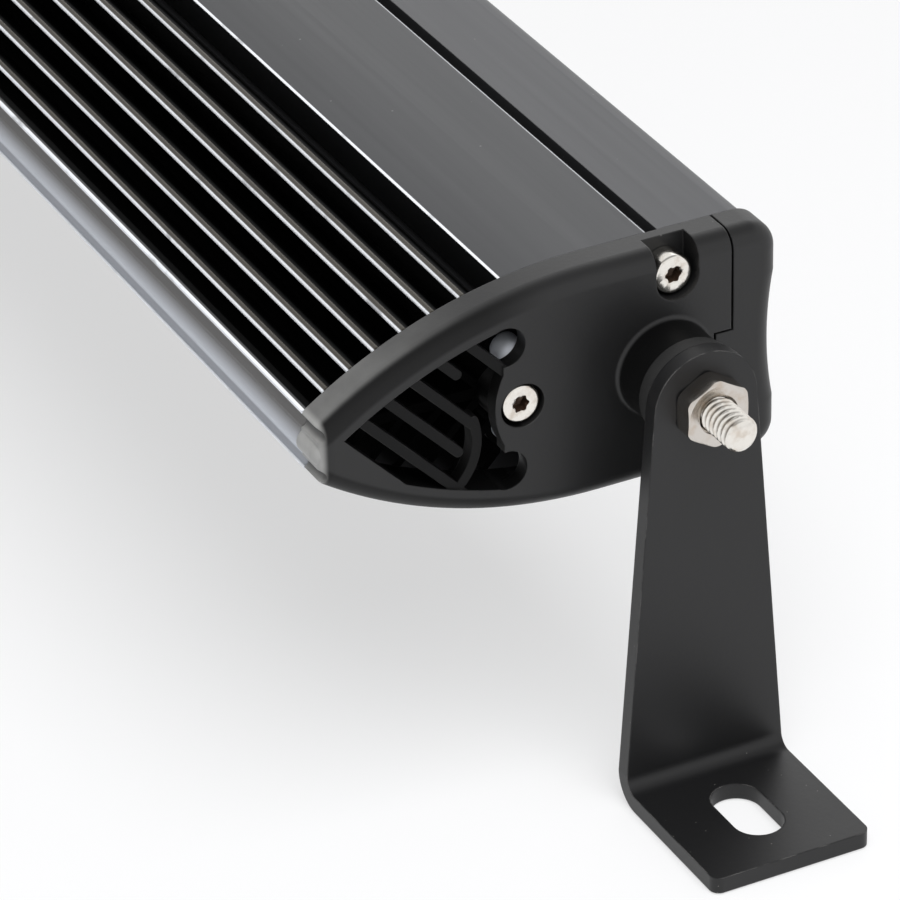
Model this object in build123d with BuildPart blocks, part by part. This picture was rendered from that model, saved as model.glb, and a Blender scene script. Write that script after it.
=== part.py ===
from build123d import *
import os
from math import cos, radians, sin, sqrt, tan

# Single-row LED light bar: a finned aluminium housing closed by two cast end caps, a lens behind two bezel
# rails, and a slotted swivel bracket on a through bolt at each end.
#
# Frame: X runs along the bar, the lens looks towards -Y, +Z is up. The origin lies midway between the two
# foot slots, on the surface that the feet are bolted to. All lengths are in millimetres. Cross-sections are
# drawn in (y, z), with z counted from the pivot axis, which is also the bar's plane of symmetry.

# ---- driving dimensions: the housing ----
housing_length = 500.0       # extruded housing, from one end cap to the other
half_height = 21.5           # from the pivot axis to the flat top
axis_height = 74.5           # pivot axis above the mounting surface
wall = 2.5                   # outer walls of the sealed box
flat_end_y = 12.0            # here the flat top turns into the rear slope
nose_half_height = 5.36      # half height of the slope's end, at the nose
corner_y = 27.0              # top rear corner of the sealed box
box_back_y = 22.0            # rear face of the sealed box
nose_y = 62.8                # rear edge of the nose bar's lips
nose_thickness = 2.4
nose_bead_radius = 2.2
nose_groove_radius = 1.2
web_thickness = 2.0          # central web that carries the fins

# ---- fins: straight plates, slanted down and forward, at an even pitch ----
fin_slant = 46.0             # degrees from the horizontal
fin_count = 6
fin_pitch = 5.05             # measured square to the fins
fin_first_offset = 5.9       # from the box's rear corner to the first fin, square to the fins
fin_thickness = 1.4
fin_tip_radius = 0.5

# ---- light chamber and bezel ----
led_wall_back_y = 8.0        # transverse wall that carries the LED boards
led_wall_thickness = 5.0
wire_hole_radius = 2.4
board_screw_radius = 1.5
board_screw_z = 8.0
board_screw_skin = 0.5       # wall left under each board screw's hole
board_screw_head_radius = 2.6
board_screw_head_height = 1.6
groove_back_y = -0.5         # parting groove between the housing and a bezel rail
groove_width = 2.2
tongue_top = 18.4            # housing tongue that the rail slides over
tongue_thickness = 2.5
rail_clearance = 0.2
lens_thickness = 3.5
lens_front_y = -15.7
lens_end_gap = 0.3
gasket_thickness = 1.5
rail_front_y = -20.0
lip_inner = 14.5             # half height of the lens opening
rail_corner_radius = 4.0
rail_rib_width = 1.2
rail_rib_height = 1.2
rail_rib_y = -7.4

# ---- LEDs, reflectors and boards ----
led_count_per_module = 6
module_count = 3
module_end_gap = 7.0         # from the outermost reflector to the housing's end
board_gap = 6.0
board_thickness = 1.6
board_half_height = 11.0
led_size = 5.0
led_base_height = 0.9
led_dome_radius = 2.1
cup_base_radius = 4.0
cup_wall = 0.9
flange_thickness = 1.2
flange_half_height = 15.4
module_gap = 0.4

# ---- driver ----
driver_length = 150.0
driver_y = 13.8              # middle of the driver board's thickness
driver_slot_lip = 0.8
driver_slot_clearance = 0.1
driver_slot_depth = 2.0
driver_edge_clearance = 0.3
inductor_side = 12.0
inductor_height = 3.8
inductor_pitch = 34.0
inductor_count = 4
capacitor_radius = 3.15
capacitor_height = 4.2
capacitor_places = (-44.0, -30.0, 28.0, 42.0)    # along the driver board, from its middle
capacitor_z = 8.0
chip_size = (5.0, 1.6, 6.0)
chip_pitch = 8.0
chip_count = 4
chip_z = 10.0
wire_radius = 0.6
wire_spacing = 1.0           # half the distance between the two feed wires
wire_reach = 6.5
wire_bend = 2.0
grommet_lip = 1.2
grommet_lip_height = 1.0
jumper_z = 7.0
jumper_overlap = 4.0         # length of jumper that lies on the boards

# ---- end caps ----
cap_depth = 7.5
cap_plate = 3.0              # thickness of the pierced face
rim_width = 4.5              # rim round the window
rim_fillet = 3.2
cap_nose_y = 63.0            # the cap's lips at the nose
cap_nose_fillet = 2.4
cap_bead_radius = 2.3        # the cap's bead carries on the housing's
cap_bead_fillet = 1.6
seam_y = -12.6               # seam between the end cap and the front end piece
seam_gap = 0.4
rib_width = 1.8
rib_recess = 0.4
window_nose_y = 59.2         # rear end of the window
neck_y = 29.9                # front end of the window, beside the wall round the middle screw
neck_z = 6.6
wall_bow_y = 31.5
lobe_radius = 3.6
lobe_y = 29.4
lobe_z = 11.6
hollow_wall = 1.4            # solid left between the sealed box and the hollow behind the window
end_gasket_thickness = 1.0
end_gasket_inset = 1.6
end_gasket_back = 1.0        # the gasket stops this far before the box's rear face
front_end_y = -21.9
front_waist = 1.1
front_waist_half = 12.0      # half height of the waisted part of the front
front_corner_radius = 5.0
tab_reach = 2.9
tab_half_height = 3.3

# ---- pivot: boss, through bolt, washer and nut (1/4 inch hardware) ----
boss_radius = 8.7
boss_height = 7.5
boss_fillet = 0.8
bolt_radius = 3.175
bolt_head_flats = 11.1
bolt_head_height = 4.2
bolt_stick_out = 7.8         # threaded end beyond the nut
nut_flats = 11.1
nut_thickness = 4.2
nut_corner_cut = 0.3         # how far the nut's corners are turned down
bolt_point = 0.6             # chamfer at the bolt's threaded end
bolt_clearance = 0.1
hinge_clearance = 0.08       # running clearance of the bracket on the bolt
washer_radius = 9.1
washer_thickness = 3.5
washer_chamfer = 0.6

# ---- brackets ----
steel = 3.0                  # bracket sheet thickness
bend_radius = 2.6            # inner radius of the bend
bracket_top_radius = 9.6
foot_half_width = 15.0
foot_reach = 30.0            # from the upright's outer face to the foot's end
foot_corner_radius = 1.8
slot_length = 16.0
slot_width = 9.0
slot_from_upright = 14.6     # slot centre to the upright's outer face

# ---- cap screws (M4 socket heads) and locating pins ----
screw_radius = 2.0
screw_head_radius = 3.5
screw_head_height = 4.0
screw_length = 20.0
screw_thread_clearance = 0.05
screw_hole_clearance = 0.25
socket_flats = 3.2
socket_depth = 2.2
screw_head_fillet = 0.5
mid_screw_y = 26.5
mid_screw_sink = 0.5
mid_pocket_clearance = 0.5
mid_column_radius = 4.8      # column under the middle screw's seat
front_screw_y = -2.5
front_screw_z = 15.9
front_screw_sink = 1.4
front_pocket_clearance = 0.5
port_radius = 2.9
mid_port_radius = 3.4
mid_port_slot = 2.6
pin_radius = 2.6
pin_y = 26.0
pin_z = 7.4
pin_port_wall = 1.1
pin_depth = 10.0
pin_stick_out = 4.4
pin_fit = 0.02
pin_crown = 1.6              # rounding of the pin's end

# ---- cable gland and breather on the underside ----
gland_from_end = 45.0        # gland's axis to the housing's end
gland_y = 12.5
gland_thread_radius = 5.0
gland_flats = 13.0
gland_hex_height = 4.5
gland_nut_height = 9.0
gland_neck_height = 7.0
gland_bore_radius = 4.0
gland_mouth_radius = 3.9
cable_radius = 2.6
seal_height = 6.0
gland_fit = 0.05
gland_grip_height = 5.4
gland_crown = 2.0
thread_excess = 0.6          # threads reach this far past the housing's wall
seat_washer_thickness = 1.0
seat_washer_squeeze = 0.05
vent_from_gland = 30.0
vent_thread_radius = 4.0
vent_head_radius = 6.5
vent_head_height = 3.6
vent_crown = 1.2
vent_bore_radius = 1.5
vent_side_hole_radius = 0.7
vent_washer_inset = 0.4

# ---- derived places ----
end_x = housing_length / 2
slope_run = nose_y - flat_end_y
slope_drop = half_height - nose_half_height
slope_radius = (slope_run ** 2 + slope_drop ** 2) / (2 * slope_drop)
gland_x = end_x - gland_from_end
vent_x = gland_x - vent_from_gland
cap_face_x = end_x + cap_depth
boss_top_x = cap_face_x + boss_height
bracket_inner_x = boss_top_x + washer_thickness
bracket_outer_x = bracket_inner_x + steel
led_wall_front_y = led_wall_back_y - led_wall_thickness
board_front_y = led_wall_front_y - board_thickness
rail_back_y = groove_back_y - groove_width
rail_underside = tongue_top + rail_clearance
tongue_underside = tongue_top - tongue_thickness
lens_back_y = lens_front_y + lens_thickness
gasket_back_y = lens_back_y + gasket_thickness
lens_half_height = rail_underside - lens_end_gap
module_pitch = (housing_length - 2 * module_end_gap) / module_count
led_pitch = module_pitch / led_count_per_module
cup_mouth_radius = led_pitch / 2 - cup_wall
board_length = module_pitch - board_gap
fin_run = cos(radians(fin_slant))
fin_rise = sin(radians(fin_slant))
wire_x = module_pitch / 2
board_screw_places = [
    (module * module_pitch + side * 2 * led_pitch, led_wall_front_y, axis_height + height)
    for module in (-1, 0, 1) for side in (-1, 1) for height in (-board_screw_z, board_screw_z)]


def section(x):
    """Plane of a cross-section at x: its own axes are the bar's Y and the height above the pivot axis."""
    return Plane(origin=(x, 0, axis_height), x_dir=(0, 1, 0), z_dir=(1, 0, 0))


def slope_height(y, inset=0.0):
    """Half height of the outline, moved in by inset, at a place on the rear slope."""
    return half_height - slope_radius + sqrt((slope_radius - inset) ** 2 - (y - flat_end_y) ** 2)


def bar_outline(front, back, inset=0.0):
    """The bar's outline between two y places, moved in by inset at the top, bottom and slope."""
    top = half_height - inset
    middle = (flat_end_y + back) / 2
    with BuildSketch() as outline:
        with BuildLine():
            Polyline((back, 0), (seam_y, 0), (seam_y, top), (flat_end_y, top))
            ThreePointArc((flat_end_y, top), (middle, slope_height(middle, inset)),
                          (back, slope_height(back, inset)))
            Line((back, slope_height(back, inset)), (back, 0))
        make_face()
        mirror(about=Plane.XZ)
        with Locations((front, 0)):
            Rectangle(back - front, 2 * half_height, align=(Align.MIN, Align.CENTER), mode=Mode.INTERSECT)
    return outline.sketch


def save(piece, name):
    """Label a finished piece and write it as its own STEP file."""
    piece.part.label = name
    export_step(piece.part, f"parts/{name}.step")


def mirrored(piece):
    """The same piece at the other end of the bar."""
    with BuildPart() as other:
        mirror(piece.part, about=Plane.YZ)
    return other


def fin_middle_y(index):
    """Where a fin's middle line crosses the bar's plane of symmetry."""
    corner = corner_y * fin_rise - slope_height(corner_y) * fin_run
    return (corner + fin_first_offset + index * fin_pitch) / fin_rise


os.makedirs("parts", exist_ok=True)

# ================= housing =================
# The sealed box, with a rear wall that drops from the corner along the fins and then straight down.
corner_drop = (corner_y - box_back_y) * tan(radians(fin_slant))
with BuildSketch() as box_outer:
    add(bar_outline(groove_back_y, corner_y))
    with BuildLine():
        Polyline((box_back_y, slope_height(corner_y) - corner_drop), (corner_y, slope_height(corner_y)),
                 (corner_y, -slope_height(corner_y)), (box_back_y, corner_drop - slope_height(corner_y)),
                 close=True)
    make_face(mode=Mode.SUBTRACT)

with BuildSketch() as driver_cavity:
    add(box_outer.sketch)
    offset(amount=-wall)
    with Locations((led_wall_back_y, 0)):
        Rectangle(box_back_y, 2 * half_height, align=(Align.MIN, Align.CENTER), mode=Mode.INTERSECT)

with BuildSketch() as fins:
    with Locations(*[(fin_middle_y(index), 0) for index in range(fin_count)]):
        Rectangle(3 * half_height, fin_thickness, rotation=fin_slant)
    with BuildLine():
        slope_middle = (box_back_y + nose_y) / 2
        Polyline((nose_y, slope_height(nose_y)), (nose_y, 0), (box_back_y - wall / 2, 0),
                 (box_back_y - wall / 2, slope_height(box_back_y)))
        ThreePointArc((box_back_y - wall / 2, slope_height(box_back_y)),
                      (slope_middle, slope_height(slope_middle)), (nose_y, slope_height(nose_y)))
    make_face(mode=Mode.INTERSECT)
    tips = [v for v in fins.vertices() if abs(v.Y - slope_height(v.X)) < 0.05 and v.X > corner_y]
    fillet(tips, fin_tip_radius)
    mirror(about=Plane.XZ)

with BuildSketch() as nose:
    with Locations((nose_y, 0)):
        Rectangle(nose_thickness, 2 * slope_height(nose_y), align=(Align.MAX, Align.CENTER))
    groove_y = nose_y + nose_groove_radius / 4
    groove_z = (nose_bead_radius + slope_height(nose_y)) / 2
    with Locations((groove_y, groove_z), (groove_y, -groove_z)):
        Circle(nose_groove_radius, mode=Mode.SUBTRACT)
    with Locations((nose_y - nose_bead_radius / 2, 0)):
        Circle(nose_bead_radius)

with BuildPart() as heatsink_housing:
    with BuildSketch(section(-end_x)):
        add(box_outer.sketch)
        add(driver_cavity.sketch, mode=Mode.SUBTRACT)
        with Locations((led_wall_front_y, 0)):
            Rectangle(led_wall_front_y - groove_back_y, 2 * tongue_underside,
                      align=(Align.MAX, Align.CENTER), mode=Mode.SUBTRACT)
        # tongues under the bezel rails, with a groove for each rail's rib
        tongue_z = tongue_top - tongue_thickness / 2
        with Locations((groove_back_y, tongue_z), (groove_back_y, -tongue_z)):
            Rectangle(groove_back_y - gasket_back_y, tongue_thickness, align=(Align.MAX, Align.CENTER))
        # screw ports and pin ports
        with Locations((front_screw_y, front_screw_z), (front_screw_y, -front_screw_z)):
            Circle(port_radius)
            Circle(screw_radius + screw_thread_clearance, mode=Mode.SUBTRACT)
        for side in (1, -1):
            with Locations((rail_back_y, side * (tongue_top + half_height) / 2)):
                Rectangle(2 * port_radius, half_height - tongue_top, align=(Align.MAX, Align.CENTER),
                          mode=Mode.SUBTRACT)
        with Locations((rail_rib_y, tongue_top), (rail_rib_y, -tongue_top)):
            Rectangle(rail_rib_width + 2 * rail_clearance, 2 * (rail_rib_height + rail_clearance),
                      mode=Mode.SUBTRACT)
        add(fins.sketch)
        with Locations((box_back_y - wall / 2, 0)):
            Rectangle(nose_y - nose_thickness / 2 - box_back_y + wall / 2, web_thickness,
                      align=(Align.MIN, Align.CENTER))
        add(nose.sketch)
        with Locations((pin_y, pin_z), (pin_y, -pin_z)):
            Circle(pin_radius + pin_port_wall)
            Circle(pin_radius + pin_fit, mode=Mode.SUBTRACT)
        with Locations((mid_screw_y, 0)):
            Circle(mid_port_radius)
            Circle(screw_radius + screw_thread_clearance, mode=Mode.SUBTRACT)
            Rectangle(2 * mid_port_radius, mid_port_slot, rotation=90 + fin_slant / 2,
                      align=(Align.MIN, Align.CENTER), mode=Mode.SUBTRACT)
        # guide lips that the driver board slides between
        slot_half = board_thickness / 2 + driver_slot_clearance
        inner_z = half_height - wall
        for lip_y in (driver_y + slot_half, driver_y - slot_half - driver_slot_lip):
            with Locations((lip_y, inner_z - driver_slot_depth / 2), (lip_y, driver_slot_depth / 2 - inner_z)):
                Rectangle(driver_slot_lip, driver_slot_depth, align=(Align.MIN, Align.CENTER))
    extrude(amount=housing_length)
    # wire passage through the LED wall, holes for the board screws, gland and breather holes
    with Locations((wire_x, led_wall_front_y, axis_height)):
        Cylinder(wire_hole_radius, 2 * led_wall_thickness, rotation=(90, 0, 0), mode=Mode.SUBTRACT)
    with Locations(*board_screw_places):
        Cylinder(board_screw_radius + screw_thread_clearance, 2 * (led_wall_thickness - board_screw_skin),
                 rotation=(90, 0, 0), mode=Mode.SUBTRACT)
    with Locations((gland_x, gland_y, axis_height - half_height)):
        Cylinder(gland_thread_radius + gland_fit, 3 * wall, mode=Mode.SUBTRACT)
    with Locations((vent_x, gland_y, axis_height - half_height)):
        Cylinder(vent_thread_radius + gland_fit, 3 * wall, mode=Mode.SUBTRACT)
save(heatsink_housing, "heatsink_housing")

# ================= bezel rails, lens and lens gasket =================
with BuildPart() as bezel_rail_top:
    with BuildSketch(section(-end_x)) as rail_profile:
        with Locations((rail_back_y, half_height)):
            Rectangle(rail_back_y - rail_front_y, half_height - rail_underside, align=(Align.MAX, Align.MAX))
        with Locations((rail_front_y, half_height)):
            Rectangle(lens_front_y - rail_front_y, half_height - lip_inner, align=(Align.MIN, Align.MAX))
        with Locations((rail_rib_y, rail_underside)):
            Rectangle(rail_rib_width, 2 * rail_rib_height)
        front_vertices = rail_profile.vertices().group_by(Axis.X)[0].sort_by(Axis.Y)
        fillet(front_vertices[-1], rail_corner_radius)
        lip_vertices = rail_profile.vertices().group_by(Axis.X)[0].sort_by(Axis.Y)
        chamfer(lip_vertices[0], rail_corner_radius / 3)
    extrude(amount=housing_length)
save(bezel_rail_top, "bezel_rail_top")

with BuildPart() as bezel_rail_bottom:
    mirror(bezel_rail_top.part, about=Plane.XY.offset(axis_height))
save(bezel_rail_bottom, "bezel_rail_bottom")

with BuildPart() as lens:
    with Locations((0, (lens_front_y + lens_back_y) / 2, axis_height)):
        Box(housing_length - 2 * lens_end_gap, lens_thickness, 2 * lens_half_height)
save(lens, "lens")

with BuildPart() as lens_gasket:
    with Locations((0, (lens_back_y + gasket_back_y) / 2, axis_height)):
        Box(housing_length - 2 * lens_end_gap, gasket_thickness, 2 * lens_half_height)
        Box(housing_length - 2 * lens_end_gap - 2 * tongue_thickness, gasket_thickness,
            2 * tongue_underside, mode=Mode.SUBTRACT)
save(lens_gasket, "lens_gasket")

# ================= LED boards, LEDs and reflectors =================
led_offsets = [(index - (led_count_per_module - 1) / 2) * led_pitch for index in range(led_count_per_module)]
module_names = ("left", "centre", "right")
module_places = [(index - (module_count - 1) / 2) * module_pitch for index in range(module_count)]
led_places = [(place + offset_x, board_front_y, axis_height)
              for place in module_places for offset_x in led_offsets]
flange_front_y = gasket_back_y
cup_depth = board_front_y - flange_front_y


def cup_solid(base_radius, mouth_radius):
    """A cup seen as a solid of revolution: its base on the XY plane, its mouth at the cup's depth."""
    middle_radius = (base_radius + mouth_radius) / 2 + cup_wall
    with BuildPart() as cup:
        with BuildSketch(Plane.XZ):
            with BuildLine():
                Polyline((base_radius, 0), (0, 0), (0, cup_depth), (mouth_radius, cup_depth))
                ThreePointArc((mouth_radius, cup_depth), (middle_radius, cup_depth / 2), (base_radius, 0))
            make_face()
        revolve(axis=Axis.Z)
    return cup.part


cup_shell = cup_solid(cup_base_radius + cup_wall, cup_mouth_radius + cup_wall)
cup_hollow = cup_solid(cup_base_radius, cup_mouth_radius)

for module_name, place in zip(module_names, module_places):
    cup_locations = [Location((place + offset_x, board_front_y, axis_height), (90, 0, 0))
                     for offset_x in led_offsets]
    with BuildPart() as reflector:
        with Locations((place, flange_front_y + flange_thickness / 2, axis_height)):
            Box(module_pitch - module_gap, flange_thickness, 2 * flange_half_height)
        with Locations(*cup_locations):
            add(cup_shell)
            add(cup_hollow, mode=Mode.SUBTRACT)
    save(reflector, f"reflector_{module_name}")

    with BuildPart() as led_board:
        with Locations((place, (led_wall_front_y + board_front_y) / 2, axis_height)):
            Box(board_length, board_thickness, 2 * board_half_height)
        with Locations(*[spot for spot in board_screw_places if abs(spot[0] - place) < module_pitch / 2]):
            Cylinder(board_screw_radius + screw_hole_clearance, 4 * board_thickness, rotation=(90, 0, 0),
                     mode=Mode.SUBTRACT)
    save(led_board, f"led_board_{module_name}")

with BuildPart() as led_bases:
    with Locations(*led_places):
        Box(led_size, led_base_height, led_size, align=(Align.CENTER, Align.MAX, Align.CENTER))
save(led_bases, "led_bases")

with BuildPart() as led_domes:
    with Locations(*[Location((x, y - led_base_height, z), (90, 0, 0)) for x, y, z in led_places]):
        Sphere(led_dome_radius, arc_size1=0, align=(Align.CENTER, Align.CENTER, Align.MIN))
save(led_domes, "led_domes")

with BuildPart() as led_board_screws:
    for x, y, z in board_screw_places:
        with Locations(Location((x, board_front_y, z), (90, 0, 0))):
            Cylinder(board_screw_head_radius, board_screw_head_height,
                     align=(Align.CENTER, Align.CENTER, Align.MIN))
            Cylinder(board_screw_radius, board_thickness + led_wall_thickness - 2 * board_screw_skin,
                     align=(Align.CENTER, Align.CENTER, Align.MAX))
save(led_board_screws, "led_board_screws")

# ================= driver board, its components and the internal wires =================
driver_right_x = wire_x + wire_reach
driver_middle_x = driver_right_x - driver_length / 2
driver_half_height = half_height - wall - driver_edge_clearance
with BuildPart() as driver_board:
    with Locations((driver_middle_x, driver_y, axis_height)):
        Box(driver_length, board_thickness, 2 * driver_half_height)
save(driver_board, "driver_board")

driver_back_y = driver_y + board_thickness / 2
driver_front_y = driver_y - board_thickness / 2
with BuildPart() as driver_inductors:
    with Locations((driver_middle_x, driver_back_y, axis_height)):
        with GridLocations(inductor_pitch, 0, inductor_count, 1):
            Box(inductor_side, inductor_height, inductor_side, align=(Align.CENTER, Align.MIN, Align.CENTER))
save(driver_inductors, "driver_inductors")

with BuildPart() as driver_capacitors:
    for x in capacitor_places:
        for z in (-capacitor_z, capacitor_z):
            with Locations(Location((driver_middle_x + x, driver_front_y, axis_height + z), (90, 0, 0))):
                Cylinder(capacitor_radius, capacitor_height, align=(Align.CENTER, Align.CENTER, Align.MIN))
save(driver_capacitors, "driver_capacitors")

with BuildPart() as driver_chips:
    for z in (-chip_z, chip_z):
        with Locations((driver_middle_x, driver_front_y, axis_height + z)):
            with GridLocations(chip_pitch, 0, chip_count, 1):
                Box(*chip_size, align=(Align.CENTER, Align.MAX, Align.CENTER))
save(driver_chips, "driver_chips")

with BuildPart() as feed_wires:
    for z in (-wire_spacing, wire_spacing):
        lead_y = board_front_y - wire_radius
        with BuildLine() as route:
            FilletPolyline((wire_x, driver_front_y, axis_height + z), (wire_x, lead_y, axis_height + z),
                           (wire_x - wire_reach, lead_y, axis_height + z), radius=wire_bend)
        with BuildSketch(Plane(origin=route.line @ 0, z_dir=route.line % 0)):
            Circle(wire_radius)
        sweep(path=route.line)
save(feed_wires, "feed_wires")

with BuildPart() as wire_grommet:
    with Locations(Location((wire_x, led_wall_back_y, axis_height), (90, 0, 0))):
        Cylinder(wire_hole_radius - screw_thread_clearance, led_wall_thickness,
                 align=(Align.CENTER, Align.CENTER, Align.MIN))
        Cylinder(wire_hole_radius + grommet_lip, grommet_lip_height,
                 align=(Align.CENTER, Align.CENTER, Align.MAX))
        Cylinder(wire_spacing + wire_radius + screw_thread_clearance, 4 * led_wall_thickness,
                 mode=Mode.SUBTRACT)
save(wire_grommet, "wire_grommet")

with BuildPart() as board_jumpers:
    for x in (-wire_x, wire_x):
        for z in (-jumper_z, jumper_z):
            with Locations((x, board_front_y - wire_radius, axis_height + z)):
                Cylinder(wire_radius, board_gap + jumper_overlap, rotation=(0, 90, 0))
save(board_jumpers, "board_jumpers")

# ================= end caps =================
# The window in the cap's face: the outline moved in by the rim, cut off at the front by a wall that bows
# round the middle screw and opens into a lobe above and below it.
def window_sketch():
    """Opening in the end cap's face, before its ribs are put back."""
    with BuildSketch() as window:
        add(bar_outline(neck_y, window_nose_y, rim_width))
        with BuildLine():
            ThreePointArc((neck_y, neck_z), (wall_bow_y, 0), (neck_y, -neck_z))
            Line((neck_y, -neck_z), (neck_y, neck_z))
        make_face(mode=Mode.SUBTRACT)
        with Locations((lobe_y, lobe_z), (lobe_y, -lobe_z)):
            Circle(lobe_radius)
        # the face is solid behind the last rib, from the front edge of where the next one would be
        with Locations((fin_middle_y(fin_count) - rib_width / 2 / fin_rise, 0)):
            Rectangle(4 * half_height, 4 * half_height, rotation=fin_slant,
                      align=(Align.CENTER, Align.MAX), mode=Mode.SUBTRACT)
    return window.sketch


# The ribs stand in line with the fins. Their front and rear ends are given as shares of the window's depth,
# and the curved tie between them as shares of that depth and of the bar's half height.
window_depth = window_nose_y - neck_y
rib_ends = {1: (-0.034, 0.515), 2: (0.263, 0.515), 3: (0.181, 0.686), 4: (0.263, 0.891), 5: (0.140, 1.027)}
tie_points = ((0.188, -0.028), (0.171, -0.260), (0.263, -0.540))


def rib_sketch():
    """Ribs across the window, each running down and forward from the rim, and the tie between their ends."""
    with BuildSketch() as ribs:
        for index, (front, back) in rib_ends.items():
            middle_y = fin_middle_y(index)
            rib_middle = neck_y + window_depth * (front + back) / 2
            length = window_depth * (back - front) / fin_run
            with Locations((rib_middle, (rib_middle - middle_y) * tan(radians(fin_slant)))):
                SlotOverall(length, rib_width, rotation=fin_slant)
        with BuildLine() as tie:
            ThreePointArc(*[(neck_y + depth * window_depth, height * half_height)
                            for depth, height in tie_points])
            offset(amount=rib_width / 2, side=Side.BOTH)
        make_face()
        add(window_sketch(), mode=Mode.INTERSECT)
    return ribs.sketch


with BuildPart() as cap_bead:
    with BuildSketch(section(end_x)):
        with Locations((nose_y - nose_bead_radius / 2, 0)):
            Circle(cap_bead_radius)
    extrude(amount=cap_depth - cap_nose_fillet / 2)
    fillet(cap_bead.edges().group_by(Axis.X)[-1], cap_bead_fillet)

with BuildPart() as end_cap_right:
    with BuildSketch(section(end_x)):
        add(bar_outline(seam_y, cap_nose_y))
    extrude(amount=cap_depth)
    # the rim is rounded along the slope and the flats, then the nose's own narrow end face
    rim_edges = end_cap_right.edges().group_by(Axis.X)[-1].sort_by(Axis.Y)[1:-1]
    fillet(rim_edges, rim_fillet)
    nose_edges = [e for e in end_cap_right.edges()
                  if e.center().Y > cap_nose_y - 0.05 and e.center().X > end_x + 0.1]
    fillet(nose_edges, cap_nose_fillet)
    # the nose carries on the housing's grooves and bead; the bead's end is rounded
    with BuildSketch(section(end_x)):
        with Locations((groove_y, groove_z), (groove_y, -groove_z)):
            Circle(nose_groove_radius)
    extrude(amount=cap_depth, mode=Mode.SUBTRACT)
    add(cap_bead.part)
    # pivot boss
    with BuildSketch(section(cap_face_x)):
        Circle(boss_radius)
    extrude(amount=boss_height)
    boss_edge = end_cap_right.edges().filter_by(GeomType.CIRCLE).filter_by(
        lambda e: abs(e.radius - boss_radius) < 0.01 and abs(e.center().X - cap_face_x) < 0.01)
    fillet(boss_edge, boss_fillet)
    # hollow behind the pierced face, round the columns of the middle screw
    with BuildSketch(section(end_x)):
        add(bar_outline(box_back_y + hollow_wall, nose_y - rim_width, rim_width))
        with Locations((mid_screw_y, 0)):
            Circle(mid_column_radius, mode=Mode.SUBTRACT)
    extrude(amount=cap_depth - cap_plate, mode=Mode.SUBTRACT)
    with BuildSketch(section(end_x)):
        add(window_sketch())
    extrude(amount=cap_depth, mode=Mode.SUBTRACT)
    with BuildSketch(section(cap_face_x - cap_plate)):
        add(rib_sketch())
    extrude(amount=cap_plate - rib_recess)
    # seat of the end gasket, pocket of the bolt head, bolt bore
    with BuildSketch(section(end_x)):
        add(bar_outline(seam_y + end_gasket_inset, box_back_y - end_gasket_back, end_gasket_inset))
    extrude(amount=end_gasket_thickness, mode=Mode.SUBTRACT)
    with BuildSketch(section(end_x)):
        RegularPolygon(bolt_head_flats / 2 + bolt_clearance, 6, major_radius=False, rotation=30)
    extrude(amount=end_gasket_thickness + bolt_head_height, mode=Mode.SUBTRACT)
    with BuildSketch(section(end_x)):
        Circle(bolt_radius + bolt_clearance)
    extrude(amount=cap_depth + boss_height, mode=Mode.SUBTRACT)
    # cap screws: two pockets that break out through the rim, one shallow counterbore in the middle
    with BuildSketch(section(cap_face_x)):
        pocket_radius = screw_head_radius + front_pocket_clearance
        for side in (1, -1):
            with Locations((front_screw_y, side * front_screw_z)):
                Circle(pocket_radius)
            with Locations((front_screw_y, side * (front_screw_z + half_height) / 2)):
                Rectangle(2 * pocket_radius, half_height - front_screw_z + seam_gap)
    extrude(amount=-(front_screw_sink + screw_head_height), mode=Mode.SUBTRACT)
    with BuildSketch(section(cap_face_x)):
        with Locations((mid_screw_y, 0)):
            Circle(screw_head_radius + mid_pocket_clearance)
    extrude(amount=-(mid_screw_sink + screw_head_height), mode=Mode.SUBTRACT)
    with BuildSketch(section(end_x)):
        with Locations((front_screw_y, front_screw_z), (front_screw_y, -front_screw_z), (mid_screw_y, 0)):
            Circle(screw_radius + screw_hole_clearance)
    extrude(amount=cap_depth, mode=Mode.SUBTRACT)
    # notch for the front end piece's tab
    with BuildSketch(section(cap_face_x - cap_plate)):
        with Locations((seam_y, 0)):
            Rectangle(tab_reach + seam_gap, 2 * (tab_half_height + seam_gap), align=(Align.MIN, Align.CENTER))
    extrude(amount=cap_plate + boss_fillet, mode=Mode.SUBTRACT)
save(end_cap_right, "end_cap_right")
save(mirrored(end_cap_right), "end_cap_left")

with BuildPart() as end_gasket_right:
    with BuildSketch(section(end_x)):
        add(bar_outline(seam_y + end_gasket_inset, box_back_y - end_gasket_back, end_gasket_inset))
        with Locations((front_screw_y, front_screw_z), (front_screw_y, -front_screw_z)):
            Circle(screw_radius + screw_hole_clearance, mode=Mode.SUBTRACT)
    extrude(amount=end_gasket_thickness)
save(end_gasket_right, "end_gasket_right")
save(mirrored(end_gasket_right), "end_gasket_left")

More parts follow.
